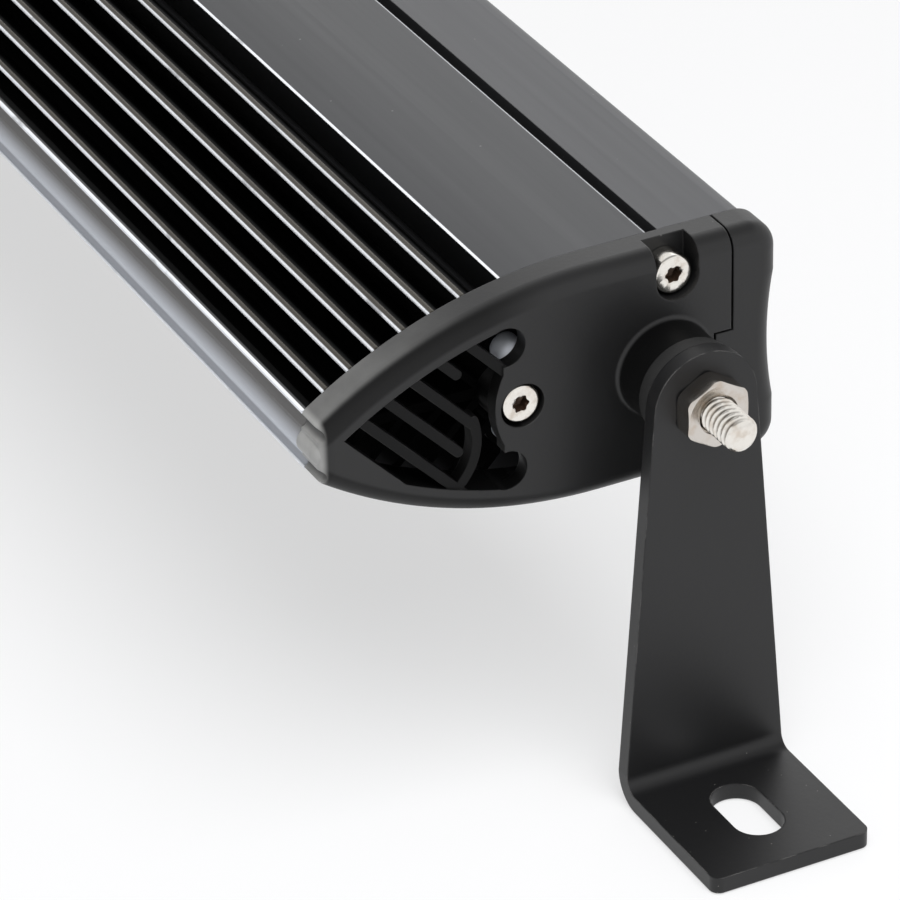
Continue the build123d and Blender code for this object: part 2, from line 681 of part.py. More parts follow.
with BuildPart() as front_end_right:
    with BuildSketch(section(end_x)) as front_profile:
        with BuildLine():
            Polyline((front_end_y, front_waist_half), (front_end_y, half_height),
                     (seam_y - seam_gap, half_height), (seam_y - seam_gap, -half_height),
                     (front_end_y, -half_height), (front_end_y, -front_waist_half))
            ThreePointArc((front_end_y, front_waist_half), (front_end_y + front_waist, 0),
                          (front_end_y, -front_waist_half))
        make_face()
        front_corners = [v for v in front_profile.vertices()
                         if v.X < seam_y - 1 and abs(v.Y) > half_height - 0.1]
        fillet(front_corners, front_corner_radius)
    extrude(amount=cap_depth)
    outer_edges = [e for e in front_end_right.edges().group_by(Axis.X)[-1]
                   if e.center().Y < seam_y - seam_gap - 0.1]
    fillet(outer_edges, rim_fillet)
    with BuildSketch(section(cap_face_x - cap_plate)):
        with Locations((seam_y + tab_reach, 0)):
            Rectangle(2 * tab_reach, 2 * tab_half_height, align=(Align.MAX, Align.CENTER))
    extrude(amount=cap_plate)
save(front_end_right, "front_end_right")
save(mirrored(front_end_right), "front_end_left")

# ================= cap screws and locating pins =================
screw_seats = [(front_screw_y, front_screw_z, cap_face_x - front_screw_sink - screw_head_height),
               (front_screw_y, -front_screw_z, cap_face_x - front_screw_sink - screw_head_height),
               (mid_screw_y, 0.0, cap_face_x - mid_screw_sink - screw_head_height)]
with BuildPart() as cap_screws_right:
    for y, z, seat_x in screw_seats:
        with BuildSketch(section(seat_x)):
            with Locations((y, z)):
                Circle(screw_head_radius)
        extrude(amount=screw_head_height)
        with BuildSketch(section(seat_x)):
            with Locations((y, z)):
                Circle(screw_radius)
        extrude(amount=-screw_length)
        with BuildSketch(section(seat_x + screw_head_height)):
            with Locations((y, z)):
                RegularPolygon(socket_flats / 2, 6, major_radius=False)
        extrude(amount=-socket_depth, mode=Mode.SUBTRACT)
    head_rims = [e for e in cap_screws_right.edges().filter_by(GeomType.CIRCLE)
                 if abs(e.radius - screw_head_radius) < 0.01
                 and any(abs(e.center().X - seat_x - screw_head_height) < 0.01 for y, z, seat_x in screw_seats)]
    fillet(head_rims, screw_head_fillet)
save(cap_screws_right, "cap_screws_right")
save(mirrored(cap_screws_right), "cap_screws_left")

with BuildPart() as locating_pins_right:
    with BuildSketch(section(end_x + pin_stick_out)):
        with Locations((pin_y, pin_z), (pin_y, -pin_z)):
            Circle(pin_radius)
    extrude(amount=-(pin_stick_out + pin_depth))
    fillet(locating_pins_right.edges().group_by(Axis.X)[-1], pin_crown)
save(locating_pins_right, "locating_pins_right")
save(mirrored(locating_pins_right), "locating_pins_left")

# ================= pivots and brackets =================
with BuildPart() as pivot_bolt_right:
    head_x = end_x + end_gasket_thickness
    with BuildSketch(section(head_x)):
        RegularPolygon(bolt_head_flats / 2, 6, major_radius=False, rotation=30)
    extrude(amount=bolt_head_height)
    with BuildSketch(section(head_x + bolt_head_height)):
        Circle(bolt_radius)
    extrude(amount=bracket_outer_x + nut_thickness + bolt_stick_out - head_x - bolt_head_height)
    chamfer(pivot_bolt_right.edges().group_by(Axis.X)[-1], bolt_point)
save(pivot_bolt_right, "pivot_bolt_right")
save(mirrored(pivot_bolt_right), "pivot_bolt_left")

with BuildPart() as pivot_washer_right:
    with BuildSketch(section(boss_top_x)):
        Circle(washer_radius)
    extrude(amount=washer_thickness)
    chamfer(pivot_washer_right.edges().group_by(Axis.X)[-1], washer_chamfer)
    fillet(pivot_washer_right.edges().group_by(Axis.X)[0], washer_chamfer / 2)
    with BuildSketch(section(boss_top_x)):
        Circle(bolt_radius + bolt_clearance)
    extrude(amount=washer_thickness, mode=Mode.SUBTRACT)
save(pivot_washer_right, "pivot_washer_right")
save(mirrored(pivot_washer_right), "pivot_washer_left")

with BuildPart() as pivot_nut_right:
    with BuildSketch(section(bracket_outer_x)):
        RegularPolygon(nut_flats / 2, 6, major_radius=False, rotation=30)
    extrude(amount=nut_thickness)
    with BuildSketch(section(bracket_outer_x)):
        Circle(nut_flats / sqrt(3) - nut_corner_cut)
    extrude(amount=nut_thickness, mode=Mode.INTERSECT)
    with BuildSketch(section(bracket_outer_x)):
        Circle(bolt_radius + screw_thread_clearance)
    extrude(amount=nut_thickness, mode=Mode.SUBTRACT)
save(pivot_nut_right, "pivot_nut_right")
save(mirrored(pivot_nut_right), "pivot_nut_left")

with BuildPart() as bracket_right:
    with BuildSketch(Plane.XZ) as bent_strip:
        with BuildLine():
            Polyline((bracket_inner_x, axis_height + bracket_top_radius), (bracket_inner_x, 0),
                     (bracket_outer_x + foot_reach, 0), (bracket_outer_x + foot_reach, steel),
                     (bracket_outer_x, steel), (bracket_outer_x, axis_height + bracket_top_radius), close=True)
        make_face()
        inner_bend = bent_strip.vertices().sort_by_distance((bracket_outer_x, steel, 0))[0]
        fillet(inner_bend, bend_radius)
        outer_bend = bent_strip.vertices().sort_by_distance((bracket_inner_x, 0, 0))[0]
        fillet(outer_bend, bend_radius + steel)
    extrude(amount=foot_half_width, both=True)
    with BuildSketch(Plane(origin=(bracket_inner_x, 0, 0), x_dir=(0, 1, 0), z_dir=(1, 0, 0))):
        with Locations((0, axis_height)):
            Circle(bracket_top_radius)
        with Locations((0, 0)):
            Rectangle(2 * foot_half_width, steel + bend_radius, align=(Align.CENTER, Align.MIN))
        make_hull()
    extrude(amount=steel + foot_reach, mode=Mode.INTERSECT)
    foot_end = bracket_right.edges().filter_by(Axis.Z).group_by(Axis.X)[-1]
    fillet(foot_end, foot_corner_radius)
    with BuildSketch(Plane.XY):
        with Locations((bracket_outer_x + slot_from_upright, 0)):
            SlotOverall(slot_length, slot_width)
    extrude(amount=steel, mode=Mode.SUBTRACT)
    with BuildSketch(section(bracket_inner_x)):
        Circle(bolt_radius + hinge_clearance)
    extrude(amount=steel, mode=Mode.SUBTRACT)
save(bracket_right, "bracket_right")
save(mirrored(bracket_right), "bracket_left")

# ================= cable gland and breather =================
underside = axis_height - half_height
washer_bottom = underside - seat_washer_thickness
hex_bottom = washer_bottom - gland_hex_height
neck_bottom = hex_bottom - gland_neck_height
nut_bottom = hex_bottom - gland_nut_height


def seat_washer(x, inner_radius, outer_radius):
    """Flat rubber washer between the housing's underside and a screwed fitting."""
    with BuildPart() as washer:
        with BuildSketch(Plane.XY.offset(washer_bottom)):
            with Locations((x, gland_y)):
                Circle(outer_radius)
                Circle(inner_radius + bolt_clearance, mode=Mode.SUBTRACT)
        extrude(amount=seat_washer_thickness - seat_washer_squeeze)
    return washer


save(seat_washer(gland_x, gland_thread_radius, gland_flats / 2), "gland_washer")
save(seat_washer(vent_x, vent_thread_radius, vent_head_radius - vent_washer_inset), "vent_washer")

with BuildPart() as gland_body:
    with BuildSketch(Plane.XY.offset(hex_bottom)):
        with Locations((gland_x, gland_y)):
            RegularPolygon(gland_flats / 2, 6, major_radius=False)
    extrude(amount=gland_hex_height)
    with BuildSketch(Plane.XY.offset(neck_bottom)):
        with Locations((gland_x, gland_y)):
            Circle(gland_thread_radius)
    extrude(amount=underside + wall - neck_bottom + thread_excess)
    with BuildSketch(Plane.XY.offset(neck_bottom)):
        with Locations((gland_x, gland_y)):
            Circle(gland_bore_radius)
    extrude(amount=seal_height, mode=Mode.SUBTRACT)
    with BuildSketch(Plane.XY.offset(neck_bottom)):
        with Locations((gland_x, gland_y)):
            Circle(cable_radius + screw_hole_clearance)
    extrude(amount=underside + 2 * wall - neck_bottom, mode=Mode.SUBTRACT)
save(gland_body, "gland_body")

with BuildPart() as gland_seal:
    with BuildSketch(Plane.XY.offset(neck_bottom)):
        with Locations((gland_x, gland_y)):
            Circle(gland_bore_radius - gland_fit)
            Circle(cable_radius, mode=Mode.SUBTRACT)
    extrude(amount=seal_height)
save(gland_seal, "gland_seal")

with BuildPart() as gland_nut:
    with BuildSketch(Plane.XY.offset(hex_bottom)):
        with Locations((gland_x, gland_y)):
            RegularPolygon(gland_flats / 2, 6, major_radius=False)
    extrude(amount=-gland_grip_height)
    with BuildSketch(Plane.XY.offset(hex_bottom)):
        with Locations((gland_x, gland_y)):
            Circle(gland_flats / 2)
    extrude(amount=-gland_nut_height)
    fillet(gland_nut.edges().group_by(Axis.Z)[0], gland_crown)
    with BuildSketch(Plane.XY.offset(hex_bottom)):
        with Locations((gland_x, gland_y)):
            Circle(gland_thread_radius + gland_fit)
    extrude(amount=-gland_neck_height, mode=Mode.SUBTRACT)
    with BuildSketch(Plane.XY.offset(hex_bottom)):
        with Locations((gland_x, gland_y)):
            Circle(gland_mouth_radius)
    extrude(amount=-2 * gland_nut_height, mode=Mode.SUBTRACT)
save(gland_nut, "gland_nut")

with BuildPart() as breather_vent:
    with BuildSketch(Plane.XY.offset(washer_bottom)):
        with Locations((vent_x, gland_y)):
            Circle(vent_head_radius)
    extrude(amount=-vent_head_height)
    fillet(breather_vent.edges().group_by(Axis.Z)[0], vent_crown)
    with BuildSketch(Plane.XY.offset(washer_bottom)):
        with Locations((vent_x, gland_y)):
            Circle(vent_thread_radius)
    extrude(amount=seat_washer_thickness + wall + thread_excess)
    with BuildSketch(Plane.XY.offset(washer_bottom - vent_head_height / 2)):
        with Locations((vent_x, gland_y)):
            Circle(vent_bore_radius)
    extrude(amount=3 * wall, mode=Mode.SUBTRACT)
    with Locations((vent_x, gland_y, washer_bottom - vent_head_height / 2)):
        Cylinder(vent_side_hole_radius, 4 * vent_head_radius, rotation=(90, 0, 0), mode=Mode.SUBTRACT)
        Cylinder(vent_side_hole_radius, 4 * vent_head_radius, rotation=(0, 90, 0), mode=Mode.SUBTRACT)
save(breather_vent, "breather_vent")
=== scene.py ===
"""Looks of the LED light bar: finishes, detailed fasteners and optics, studio and camera.

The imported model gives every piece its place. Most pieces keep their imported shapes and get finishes.
The pivots' nuts, bolts and washers, the cap screws, the pins, the reflectors, the LEDs and the
gland's nut are modelled here in more detail, each in the space of the piece that it stands for.
"""

import logging
import math
from dataclasses import dataclass
from enum import Enum
from typing import Callable, Iterable, Optional, Sequence, Union

import bmesh
import bpy
from mathutils import Matrix, Vector


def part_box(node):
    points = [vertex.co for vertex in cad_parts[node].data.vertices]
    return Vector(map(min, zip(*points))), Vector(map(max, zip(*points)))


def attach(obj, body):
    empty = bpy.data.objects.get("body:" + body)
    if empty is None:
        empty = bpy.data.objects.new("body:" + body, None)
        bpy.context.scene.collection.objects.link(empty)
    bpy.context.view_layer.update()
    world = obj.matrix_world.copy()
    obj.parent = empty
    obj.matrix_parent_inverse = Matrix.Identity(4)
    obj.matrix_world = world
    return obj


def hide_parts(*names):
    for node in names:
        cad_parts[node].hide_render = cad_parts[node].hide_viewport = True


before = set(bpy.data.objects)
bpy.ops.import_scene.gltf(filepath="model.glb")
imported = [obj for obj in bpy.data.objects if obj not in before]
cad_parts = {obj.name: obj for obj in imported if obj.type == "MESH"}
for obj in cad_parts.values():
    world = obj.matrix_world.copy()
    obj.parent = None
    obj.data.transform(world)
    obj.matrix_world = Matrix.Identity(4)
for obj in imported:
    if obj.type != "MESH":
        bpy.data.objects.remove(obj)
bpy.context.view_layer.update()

MM = 0.001
AXIS_HEIGHT = 74.5 * MM
LOG = logging.getLogger("light_bar")
Number = Union[int, float]
Pair = tuple[float, float]
Point = tuple[float, float, float]
Colour = tuple[float, float, float]


class Body(Enum):
    """The body that the detailed pieces ride on."""

    BAR = "light_bar"


class Side(Enum):
    """An end of the bar, with the sign of its x."""

    LEFT = -1
    RIGHT = 1

    @property
    def word(self) -> str:
        """The end's name inside node names."""
        return self.name.lower()


# Shader expressions


class Channel:
    """One output inside a node tree. Arithmetic on it adds Math nodes."""

    def __init__(self, sheet: "Sheet", socket: bpy.types.NodeSocket) -> None:
        """Wraps an output of the sheet's tree."""
        self.sheet = sheet
        self.socket = socket

    def other(self, output: Union[int, str]) -> "Channel":
        """Another output of the same node."""
        return Channel(self.sheet, self.socket.node.outputs[output])

    def _math(self, operation: str, first: "Value", second: "Value" = 0.0) -> "Channel":
        """Result of a Math node."""
        return self.sheet.node("ShaderNodeMath", {"operation": operation}, {0: first, 1: second})

    def __add__(self, other: "Value") -> "Channel":
        """Sum."""
        return self._math("ADD", self, other)

    def __radd__(self, other: "Value") -> "Channel":
        """Sum, with the number first."""
        return self._math("ADD", other, self)

    def __sub__(self, other: "Value") -> "Channel":
        """Difference."""
        return self._math("SUBTRACT", self, other)

    def __rsub__(self, other: "Value") -> "Channel":
        """Difference, with the number first."""
        return self._math("SUBTRACT", other, self)

    def __mul__(self, other: "Value") -> "Channel":
        """Product."""
        return self._math("MULTIPLY", self, other)

    def __rmul__(self, other: "Value") -> "Channel":
        """Product, with the number first."""
        return self._math("MULTIPLY", other, self)

    def __abs__(self) -> "Channel":
        """Size without its sign."""
        return self._math("ABSOLUTE", self)

    def repeated(self, period: Number) -> "Channel":
        """The value counted anew from 0 in every period."""
        return self._math("FLOORED_MODULO", self, period)

    def root(self) -> "Channel":
        """Square root."""
        return self._math("SQRT", self)

    def above(self, limit: "Value") -> "Channel":
        """1 where the value is above the limit, else 0."""
        return self._math("GREATER_THAN", self, limit)

    def highest(self, other: "Value") -> "Channel":
        """The larger of two values."""
        return self._math("MAXIMUM", self, other)

    def step(self, low: Number, high: Number) -> "Channel":
        """Smooth step: 0 up to the low value, 1 from the high value on."""
        return self.sheet.node("ShaderNodeMapRange", {"interpolation_type": "SMOOTHSTEP"}, {
            "Value": self, "From Min": low, "From Max": high, "To Min": 0.0, "To Max": 1.0})

    def past(self, edge: Number, start: Number, end: Number) -> "Channel":
        """Smooth step near an edge, between two places given in millimetres past it."""
        return self.step(edge + start * MM, edge + end * MM)


Value = Union[Number, Channel, Sequence[float]]


class Sheet:
    """The node tree of one material or world."""

    def __init__(self, tree: bpy.types.NodeTree) -> None:
        """Empties the tree.

        Args:
            tree: the tree to fill.
        """
        self.tree = tree
        self.tree.nodes.clear()
        self._places: Optional[Channel] = None

    def node(self, kind: str, settings: Optional[dict] = None, sockets: Optional[dict] = None,
             output: Union[int, str] = 0) -> Channel:
        """Adds one node.

        Args:
            kind: the node's type.
            settings: its properties.
            sockets: values or links of its inputs, by name or number.
            output: which output to hand back.

        Returns:
            The chosen output.
        """
        made = self.tree.nodes.new(kind)
        for key, setting in (settings or {}).items():
            setattr(made, key, setting)
        for key, given in (sockets or {}).items():
            target = made.inputs[key]
            if isinstance(given, Channel):
                self.tree.links.new(given.socket, target)
            elif hasattr(given, "__len__") and len(target.default_value) > len(given):
                target.default_value = (*given, 1.0)
            else:
                target.default_value = given
        return Channel(self, made.outputs[output])

    def deliver(self, kind: str, result: Channel) -> None:
        """Links a result to an output node of the given type."""
        self.tree.links.new(result.socket, self.tree.nodes.new(kind).inputs["Surface"])

    def places(self) -> Channel:
        """The piece's own coordinates, in metres, as a vector."""
        if self._places is None:
            self._places = self.node("ShaderNodeTexCoord", output="Object")
        return self._places

    def axes(self) -> tuple[Channel, Channel, Channel]:
        """The piece's own x, y and z, in metres."""
        x = self.node("ShaderNodeSeparateXYZ", None, {0: self.places()})
        return x, x.other(1), x.other(2)

    def stretched(self, scale: Point) -> Channel:
        """The piece's own coordinates, scaled along each axis."""
        return self.node("ShaderNodeVectorMath", {"operation": "MULTIPLY"},
                         {0: self.places(), 1: scale})

    def grain(self, scale: Number, detail: Number = 2.0,
              stretch: Point = (1.0, 1.0, 1.0)) -> Channel:
        """Noise from 0 to 1, by patches to the metre, finer layers and factors along the axes."""
        return self.node("ShaderNodeTexNoise", None, {
            "Vector": self.stretched(stretch), "Scale": scale, "Detail": detail})

    def specks(self, scale: Number, size: Number, share: Number) -> Channel:
        """Scattered round specks.

        Args:
            scale: cells to the metre.
            size: a speck's radius as a share of its cell.
            share: the share of cells that hold a speck.

        Returns:
            1 on a speck, else 0.
        """
        cell = self.node("ShaderNodeTexVoronoi", None, {"Vector": self.places(), "Scale": scale})
        chosen = self.node("ShaderNodeSeparateColor", None, {0: cell.other("Color")})
        return (1.0 - cell.step(size * 0.6, size)) * chosen.above(1.0 - share)

    def blend(self, factor: Value, first: Value, second: Value) -> Channel:
        """Colour between two: the first at a factor of 0, the second at 1."""
        return self.node("ShaderNodeMix", {"data_type": "RGBA"},
                         {0: factor, 6: first, 7: second}, 2)

    def rounded(self, radius: Number) -> Channel:
        """The surface's normal, with sharp edges rounded by a radius in metres."""
        return self.node("ShaderNodeBevel", {"samples": 4}, {"Radius": radius})

    def edge(self, rounded: Channel) -> Channel:
        """0 on open faces, and more towards the edges that the rounded normal softens."""
        normal = self.node("ShaderNodeNewGeometry", output="Normal")
        return 1.0 - self.node("ShaderNodeVectorMath", {"operation": "DOT_PRODUCT"},
                               {0: rounded, 1: normal}, "Value")

    def bump(self, height: Channel, strength: Number, distance: Number,
             **normal: Channel) -> Channel:
        """Normal with relief of a strength and a depth in metres, on the mesh or a given Normal."""
        return self.node("ShaderNodeBump", None, {
            "Height": height, "Strength": strength, "Distance": distance, **normal})

    def surface(self, sockets: dict[str, Value]) -> Channel:
        """Principled surface."""
        return self.node("ShaderNodeBsdfPrincipled", None, sockets)


def new_material(name: str, build: Callable[[Sheet], Channel]) -> bpy.types.Material:
    """Makes a material.

    Args:
        name: its name.
        build: adds the nodes and returns the surface shader.

    Returns:
        The material.
    """
    material = bpy.data.materials.new(name)
    material.use_nodes = True
    sheet = Sheet(material.node_tree)
    sheet.deliver("ShaderNodeOutputMaterial", build(sheet))
    return material


def scaled(colour: Colour, factor: float) -> Colour:
    """A colour, brightened or darkened."""
    return tuple(factor * part for part in colour)


class Finish:
    """A finish that makes its material once and then hands out the same one."""

    name = "finish"

    def shade(self, sheet: Sheet) -> Channel:
        """Adds the nodes.

        Args:
            sheet: the node tree.

        Returns:
            The surface shader.
        """
        raise NotImplementedError

    def material(self) -> bpy.types.Material:
        """The finish's material."""
        title = f"finish_{self.name}"
        return bpy.data.materials.get(title) or new_material(title, self.shade)


@dataclass(frozen=True)
class Slope:
    """Arc of the bar's rear faces, in which the fins end and which the end caps follow."""

    radius: float = 88.0 * MM
    centre_y: float = 12.0 * MM
    centre_drop: float = 66.5 * MM

    def height(self, y: float) -> float:
        """Height of the arc above the pivot axis."""
        return math.sqrt(self.radius**2 - (y - self.centre_y) ** 2) - self.centre_drop

    def depth(self, y: Channel, height: Channel) -> Channel:
        """Depth inside the arc.

        Args:
            y: place across the bar.
            height: distance above or below the pivot axis.

        Returns:
            The depth in metres.
        """
        out = height + self.centre_drop
        back = y - self.centre_y
        return self.radius - (out * out + back * back).root()


SLOPE = Slope()


@dataclass(frozen=True)
class BlackAnodising(Finish):
    """Satin black anodised extrusion, drawn along X, with painted highlights at the fins' edges, a
    painted reflection on the nose and painted shade deep between the fins.
    """

    name: str = "black_anodising"
    colour: Colour = (0.050, 0.051, 0.054)
    dust_colour: Colour = (0.35, 0.35, 0.34)
    # painted shade deep between the fins, on their ends behind the caps and behind the lip
    hidden_colour: Colour = (0.003, 0.003, 0.003)
    # painted highlight along the fins' tips, the slope's corner, the lip's edge and the parting groove
    bare_colour: Colour = (0.86, 0.88, 0.92)
    # painted shading of the rounded tips and lip, beside the painted highlights
    strip_colour: Colour = (0.066, 0.060, 0.050)
    # painted reflection on the nose's bead and on the nose below it
    nose_colour: Colour = (0.61, 0.64, 0.70)
    # painted shade on the nose above the bead, in its groove
    groove_colour: Colour = (0.15, 0.147, 0.145)
    roughness: float = 0.33
    metal: float = 0.72
    # metalness where the highlights and the nose's reflection are painted
    bare_metal: float = 0.15
    corner_y: float = 27.0 * MM
    nose_y: float = 62.8 * MM
    lip_height: float = 5.36 * MM
    lip_depth: float = 2.4 * MM
    end_x: float = 250.0 * MM
    groove_y: float = -0.5 * MM
    groove_height: float = 21.0 * MM
    groove_shine: float = 0.45
    fin_slant: float = math.radians(46.0)
    fin_first: float = 5.9 * MM
    fin_pitch: float = 5.05 * MM
    bare_depth: float = 0.55 * MM
    # whether the painted highlights, the nose's painted reflection and the painted shade are applied
    bare_edges: bool = True

    def edges(self, sheet: Sheet) -> tuple[Channel, ...]:
        """Where light and shade are painted on the extrusion.

        Args:
            sheet: the node tree.

        Returns:
            Masks of the painted highlight lines, of the painted shading beside them, of the nose's own
            face, which takes a painted reflection, and of the painted shade deep between the fins, and
            the height above the pivot axis.
        """
        x, y, z = sheet.axes()
        rise = z - AXIS_HEIGHT
        height = abs(rise)
        depth = SLOPE.depth(y, height)
        skin = 1.0 - depth.step(self.bare_depth * 0.7, self.bare_depth)
        sine, cosine = math.sin(self.fin_slant), math.cos(self.fin_slant)
        first = self.corner_y * sine - SLOPE.height(self.corner_y) * cosine + self.fin_first
        across = y * sine - height * cosine - (first - self.fin_pitch / 2)
        across = across.repeated(self.fin_pitch) - self.fin_pitch / 2
        rear_side = across.past(0.0, -0.05, 0.16)
        lip_front = y.past(self.nose_y - self.lip_depth, -0.2, 0.0)
        lip_start = y.past(self.nose_y, -1.2, -1.05)
        lip_edge = y.past(self.nose_y, -0.75, -0.6)
        lip = skin * lip_start
        # the fins' tips, the slope's corner and the lip's edge take painted highlight lines, with
        # painted shading beside them
        tips = skin * (y.past(self.corner_y, 0.4, 0.6) * (1.0 - lip_front))
        corner = skin * y.past(self.corner_y, -0.62, -0.45) * (
            1.0 - y.past(self.corner_y, 0.1, 0.3))
        lines = (tips * rear_side).highest(corner).highest(lip * lip_edge)
        strips = (tips * (1.0 - rear_side)).highest(lip * (1.0 - lip_edge))
        # a weaker painted highlight along the parting groove
        groove = (1.0 - y.past(self.groove_y, 0.16, 0.30)) * (
            height.past(self.groove_height, 0.0, 0.3))
        # the nose's own face, which takes a painted reflection
        nose = y.past(self.nose_y, -1.8, -1.5) * (1.0 - height.past(self.lip_height, -0.1, 0.0))
        # painted shade deeper between the fins, on the fins' ends behind the caps and behind the lip
        painted_shade = depth.past(0.0, 1.5, 5.5).highest(abs(x).past(self.end_x, -0.6, -0.1))
        painted_shade = painted_shade.highest(lip_front * (1.0 - lip_start)) * y.past(self.corner_y, -0.2, 0.0)
        return lines.highest(groove * self.groove_shine), strips, nose, painted_shade, rise

    def shade(self, sheet: Sheet) -> Channel:
        """Adds the nodes.

        Args:
            sheet: the node tree.

        Returns:
            The surface shader.
        """
        lines = sheet.grain(900.0, 3.0, (0.012, 1.0, 1.0))
        clouds = sheet.grain(14.0)
        fine = sheet.grain(5200.0, 1.0)
        dust = sheet.specks(520.0, 0.12, 0.06)
        tone = sheet.blend(clouds, self.colour, scaled(self.colour, 1.35))
        tone = sheet.blend(dust * 0.30, tone, self.dust_colour)
        metal: Value = self.metal
        roughness = self.roughness + lines * 0.10 + clouds * 0.05
        # painted highlights, painted reflection on the nose and painted shade
        if self.bare_edges:
            bright, strips, nose, painted_shade, rise = self.edges(sheet)
            # painted shade
            tone = sheet.blend(painted_shade * 0.97, tone, self.hidden_colour)
            # the nose: painted reflection on the bead and below it, painted shade in the groove above
            # the bead
            bead = 1.0 - rise.past(0.0, -0.6, 2.6)
            # weaker along the nose's lowest edge: painted shade there
            nose = nose * (0.58 + rise.past(0.0, -4.2, -3.7) * 0.42)
            # breaks along the painted highlight lines
            highlight_breaks = sheet.grain(260.0, 4.0, (0.5, 1.0, 1.0)).step(0.30, 0.42)
            bright = bright * (0.55 + highlight_breaks * 0.45)
            nose_tone = sheet.blend(bead, self.groove_colour, self.nose_colour)
            tone = sheet.blend(nose * (0.80 + lines * 0.2), tone, nose_tone)
            # painted shading beside the highlights, then the painted highlights themselves
            tone = sheet.blend(strips, tone, self.strip_colour)
            tone = sheet.blend(bright, tone, self.bare_colour)
            metal = self.metal - bright.highest(nose) * (self.metal - self.bare_metal)
            metal = metal.highest(painted_shade * (1.0 - nose))
            roughness = roughness + painted_shade * 0.3 + nose * 0.06 + bright * 0.05
        relief = lines * 0.6 + fine * 0.4
        return sheet.surface({
            "Base Color": tone, "Metallic": metal, "Roughness": roughness,
            "Normal": sheet.bump(relief, 0.25, 0.03 * MM, Normal=sheet.rounded(0.25 * MM))})


@dataclass(frozen=True)
class CastCoat(Finish):
    """Black coating on a casting: fine orange peel, rubbed lighter at the edges and the nose, with
    painted sheen on the rim's outer side, a painted reflection on the nose and painted shade in
    the window, on the boss and in the rounding.
    """

    name: str = "cast_coat"
    colour: Colour = (0.0075, 0.0075, 0.0078)
    dust_colour: Colour = (0.30, 0.30, 0.29)
    # lighter colour of worn edges, also painting the rim's sheen and the nose's reflection
    rubbed_colour: Colour = (0.42, 0.42, 0.41)
    # painted shade in the window, on the boss and in the rim's rounding
    hidden_colour: Colour = (0.0025, 0.0025, 0.0026)
    roughness: float = 0.34
    refraction: float = 1.45
    nose_y: float = 61.6 * MM
    face_x: float = 257.5 * MM
    window: Pair = (27.0 * MM, 59.0 * MM)
    # span across the bar of the rim's painted sheen and scuffs
    handled_y: Pair = (30.0 * MM, 61.0 * MM)
    rounding_y: Pair = (20.0 * MM, 34.0 * MM)
    rim_width: float = 4.5 * MM

    def masks(self, sheet: Sheet) -> tuple[Channel, Channel, Channel]:
        """Where the casting is worn and where light and shade are painted on it.

        Args:
            sheet: the node tree.

        Returns:
            Masks of the painted shade, with duller gloss, on the ribs, boss and rounding, of the rim's
            outer side, which takes painted sheen and scuffs, and of the nose, which is worn and takes a
            painted reflection.
        """
        x, y, z = sheet.axes()
        out = abs(x)
        depth = SLOPE.depth(y, abs(z - AXIS_HEIGHT))
        first, last = self.window
        inside = depth.past(self.rim_width, -0.3, 0.0) * y.past(first, -1.0, 0.0) * (
            1.0 - y.past(last, 0.0, 0.3))
        sunk = 1.0 - out.past(self.face_x, -0.3, -0.15)
        boss = out.past(self.face_x, 0.2, 0.8)
        outer_side = 1.0 - depth.past(0.0, 0.6, 1.6)
        # the rim's outer side towards the nose: painted sheen with scuffs
        rim_sheen_and_scuffs = y.step(*self.handled_y) * outer_side * (1.0 - out.past(self.face_x, -2.8, -1.6))
        rounding = y.step(*self.rounding_y) * (1.0 - depth.past(0.0, 2.6, 3.4)) * (
            out.past(self.face_x, -2.4, -1.4))
        # painted shade in the window, on the boss and in the rim's rounding
        painted_shade = (inside * sunk).highest(boss).highest(rounding * 0.7)
        return painted_shade, rim_sheen_and_scuffs, y.past(self.nose_y, 0.0, 1.2)

    def shade(self, sheet: Sheet) -> Channel:
        """Adds the nodes.

        Args:
            sheet: the node tree.

        Returns:
            The surface shader.
        """
        painted_shade, rim_sheen_and_scuffs, nose = self.masks(sheet)
        rounded = sheet.rounded(0.35 * MM)
        peel = sheet.grain(1500.0, 3.0)
        clouds = sheet.grain(40.0, 3.0)
        patches = sheet.grain(160.0, 3.0)
        dust = sheet.specks(500.0, 0.09, 0.07)
        rub = sheet.edge(rounded).step(0.05, 0.45) * patches.step(0.48, 0.62)
        tone = sheet.blend(clouds, self.colour, scaled(self.colour, 1.5))
        # painted shade
        tone = sheet.blend(painted_shade * 0.8, tone, self.hidden_colour)
        tone = sheet.blend(dust * 0.4, tone, self.dust_colour)
        # painted sheen and scuffs on the rim's outer side, then worn edges, and the nose: wear and a
        # painted reflection
        tone = sheet.blend(rim_sheen_and_scuffs * (0.10 + patches * 0.30), tone, self.rubbed_colour)
        tone = sheet.blend(rub * 0.16 + nose * (0.55 + patches * 0.40), tone, self.rubbed_colour)
        return sheet.surface({
            "Base Color": tone, "Metallic": painted_shade * 0.55, "IOR": self.refraction,
            "Roughness": self.roughness + painted_shade * 0.15 + clouds * 0.08 + peel * 0.06,
            "Normal": sheet.bump(peel, 0.35, 0.05 * MM, Normal=rounded)})


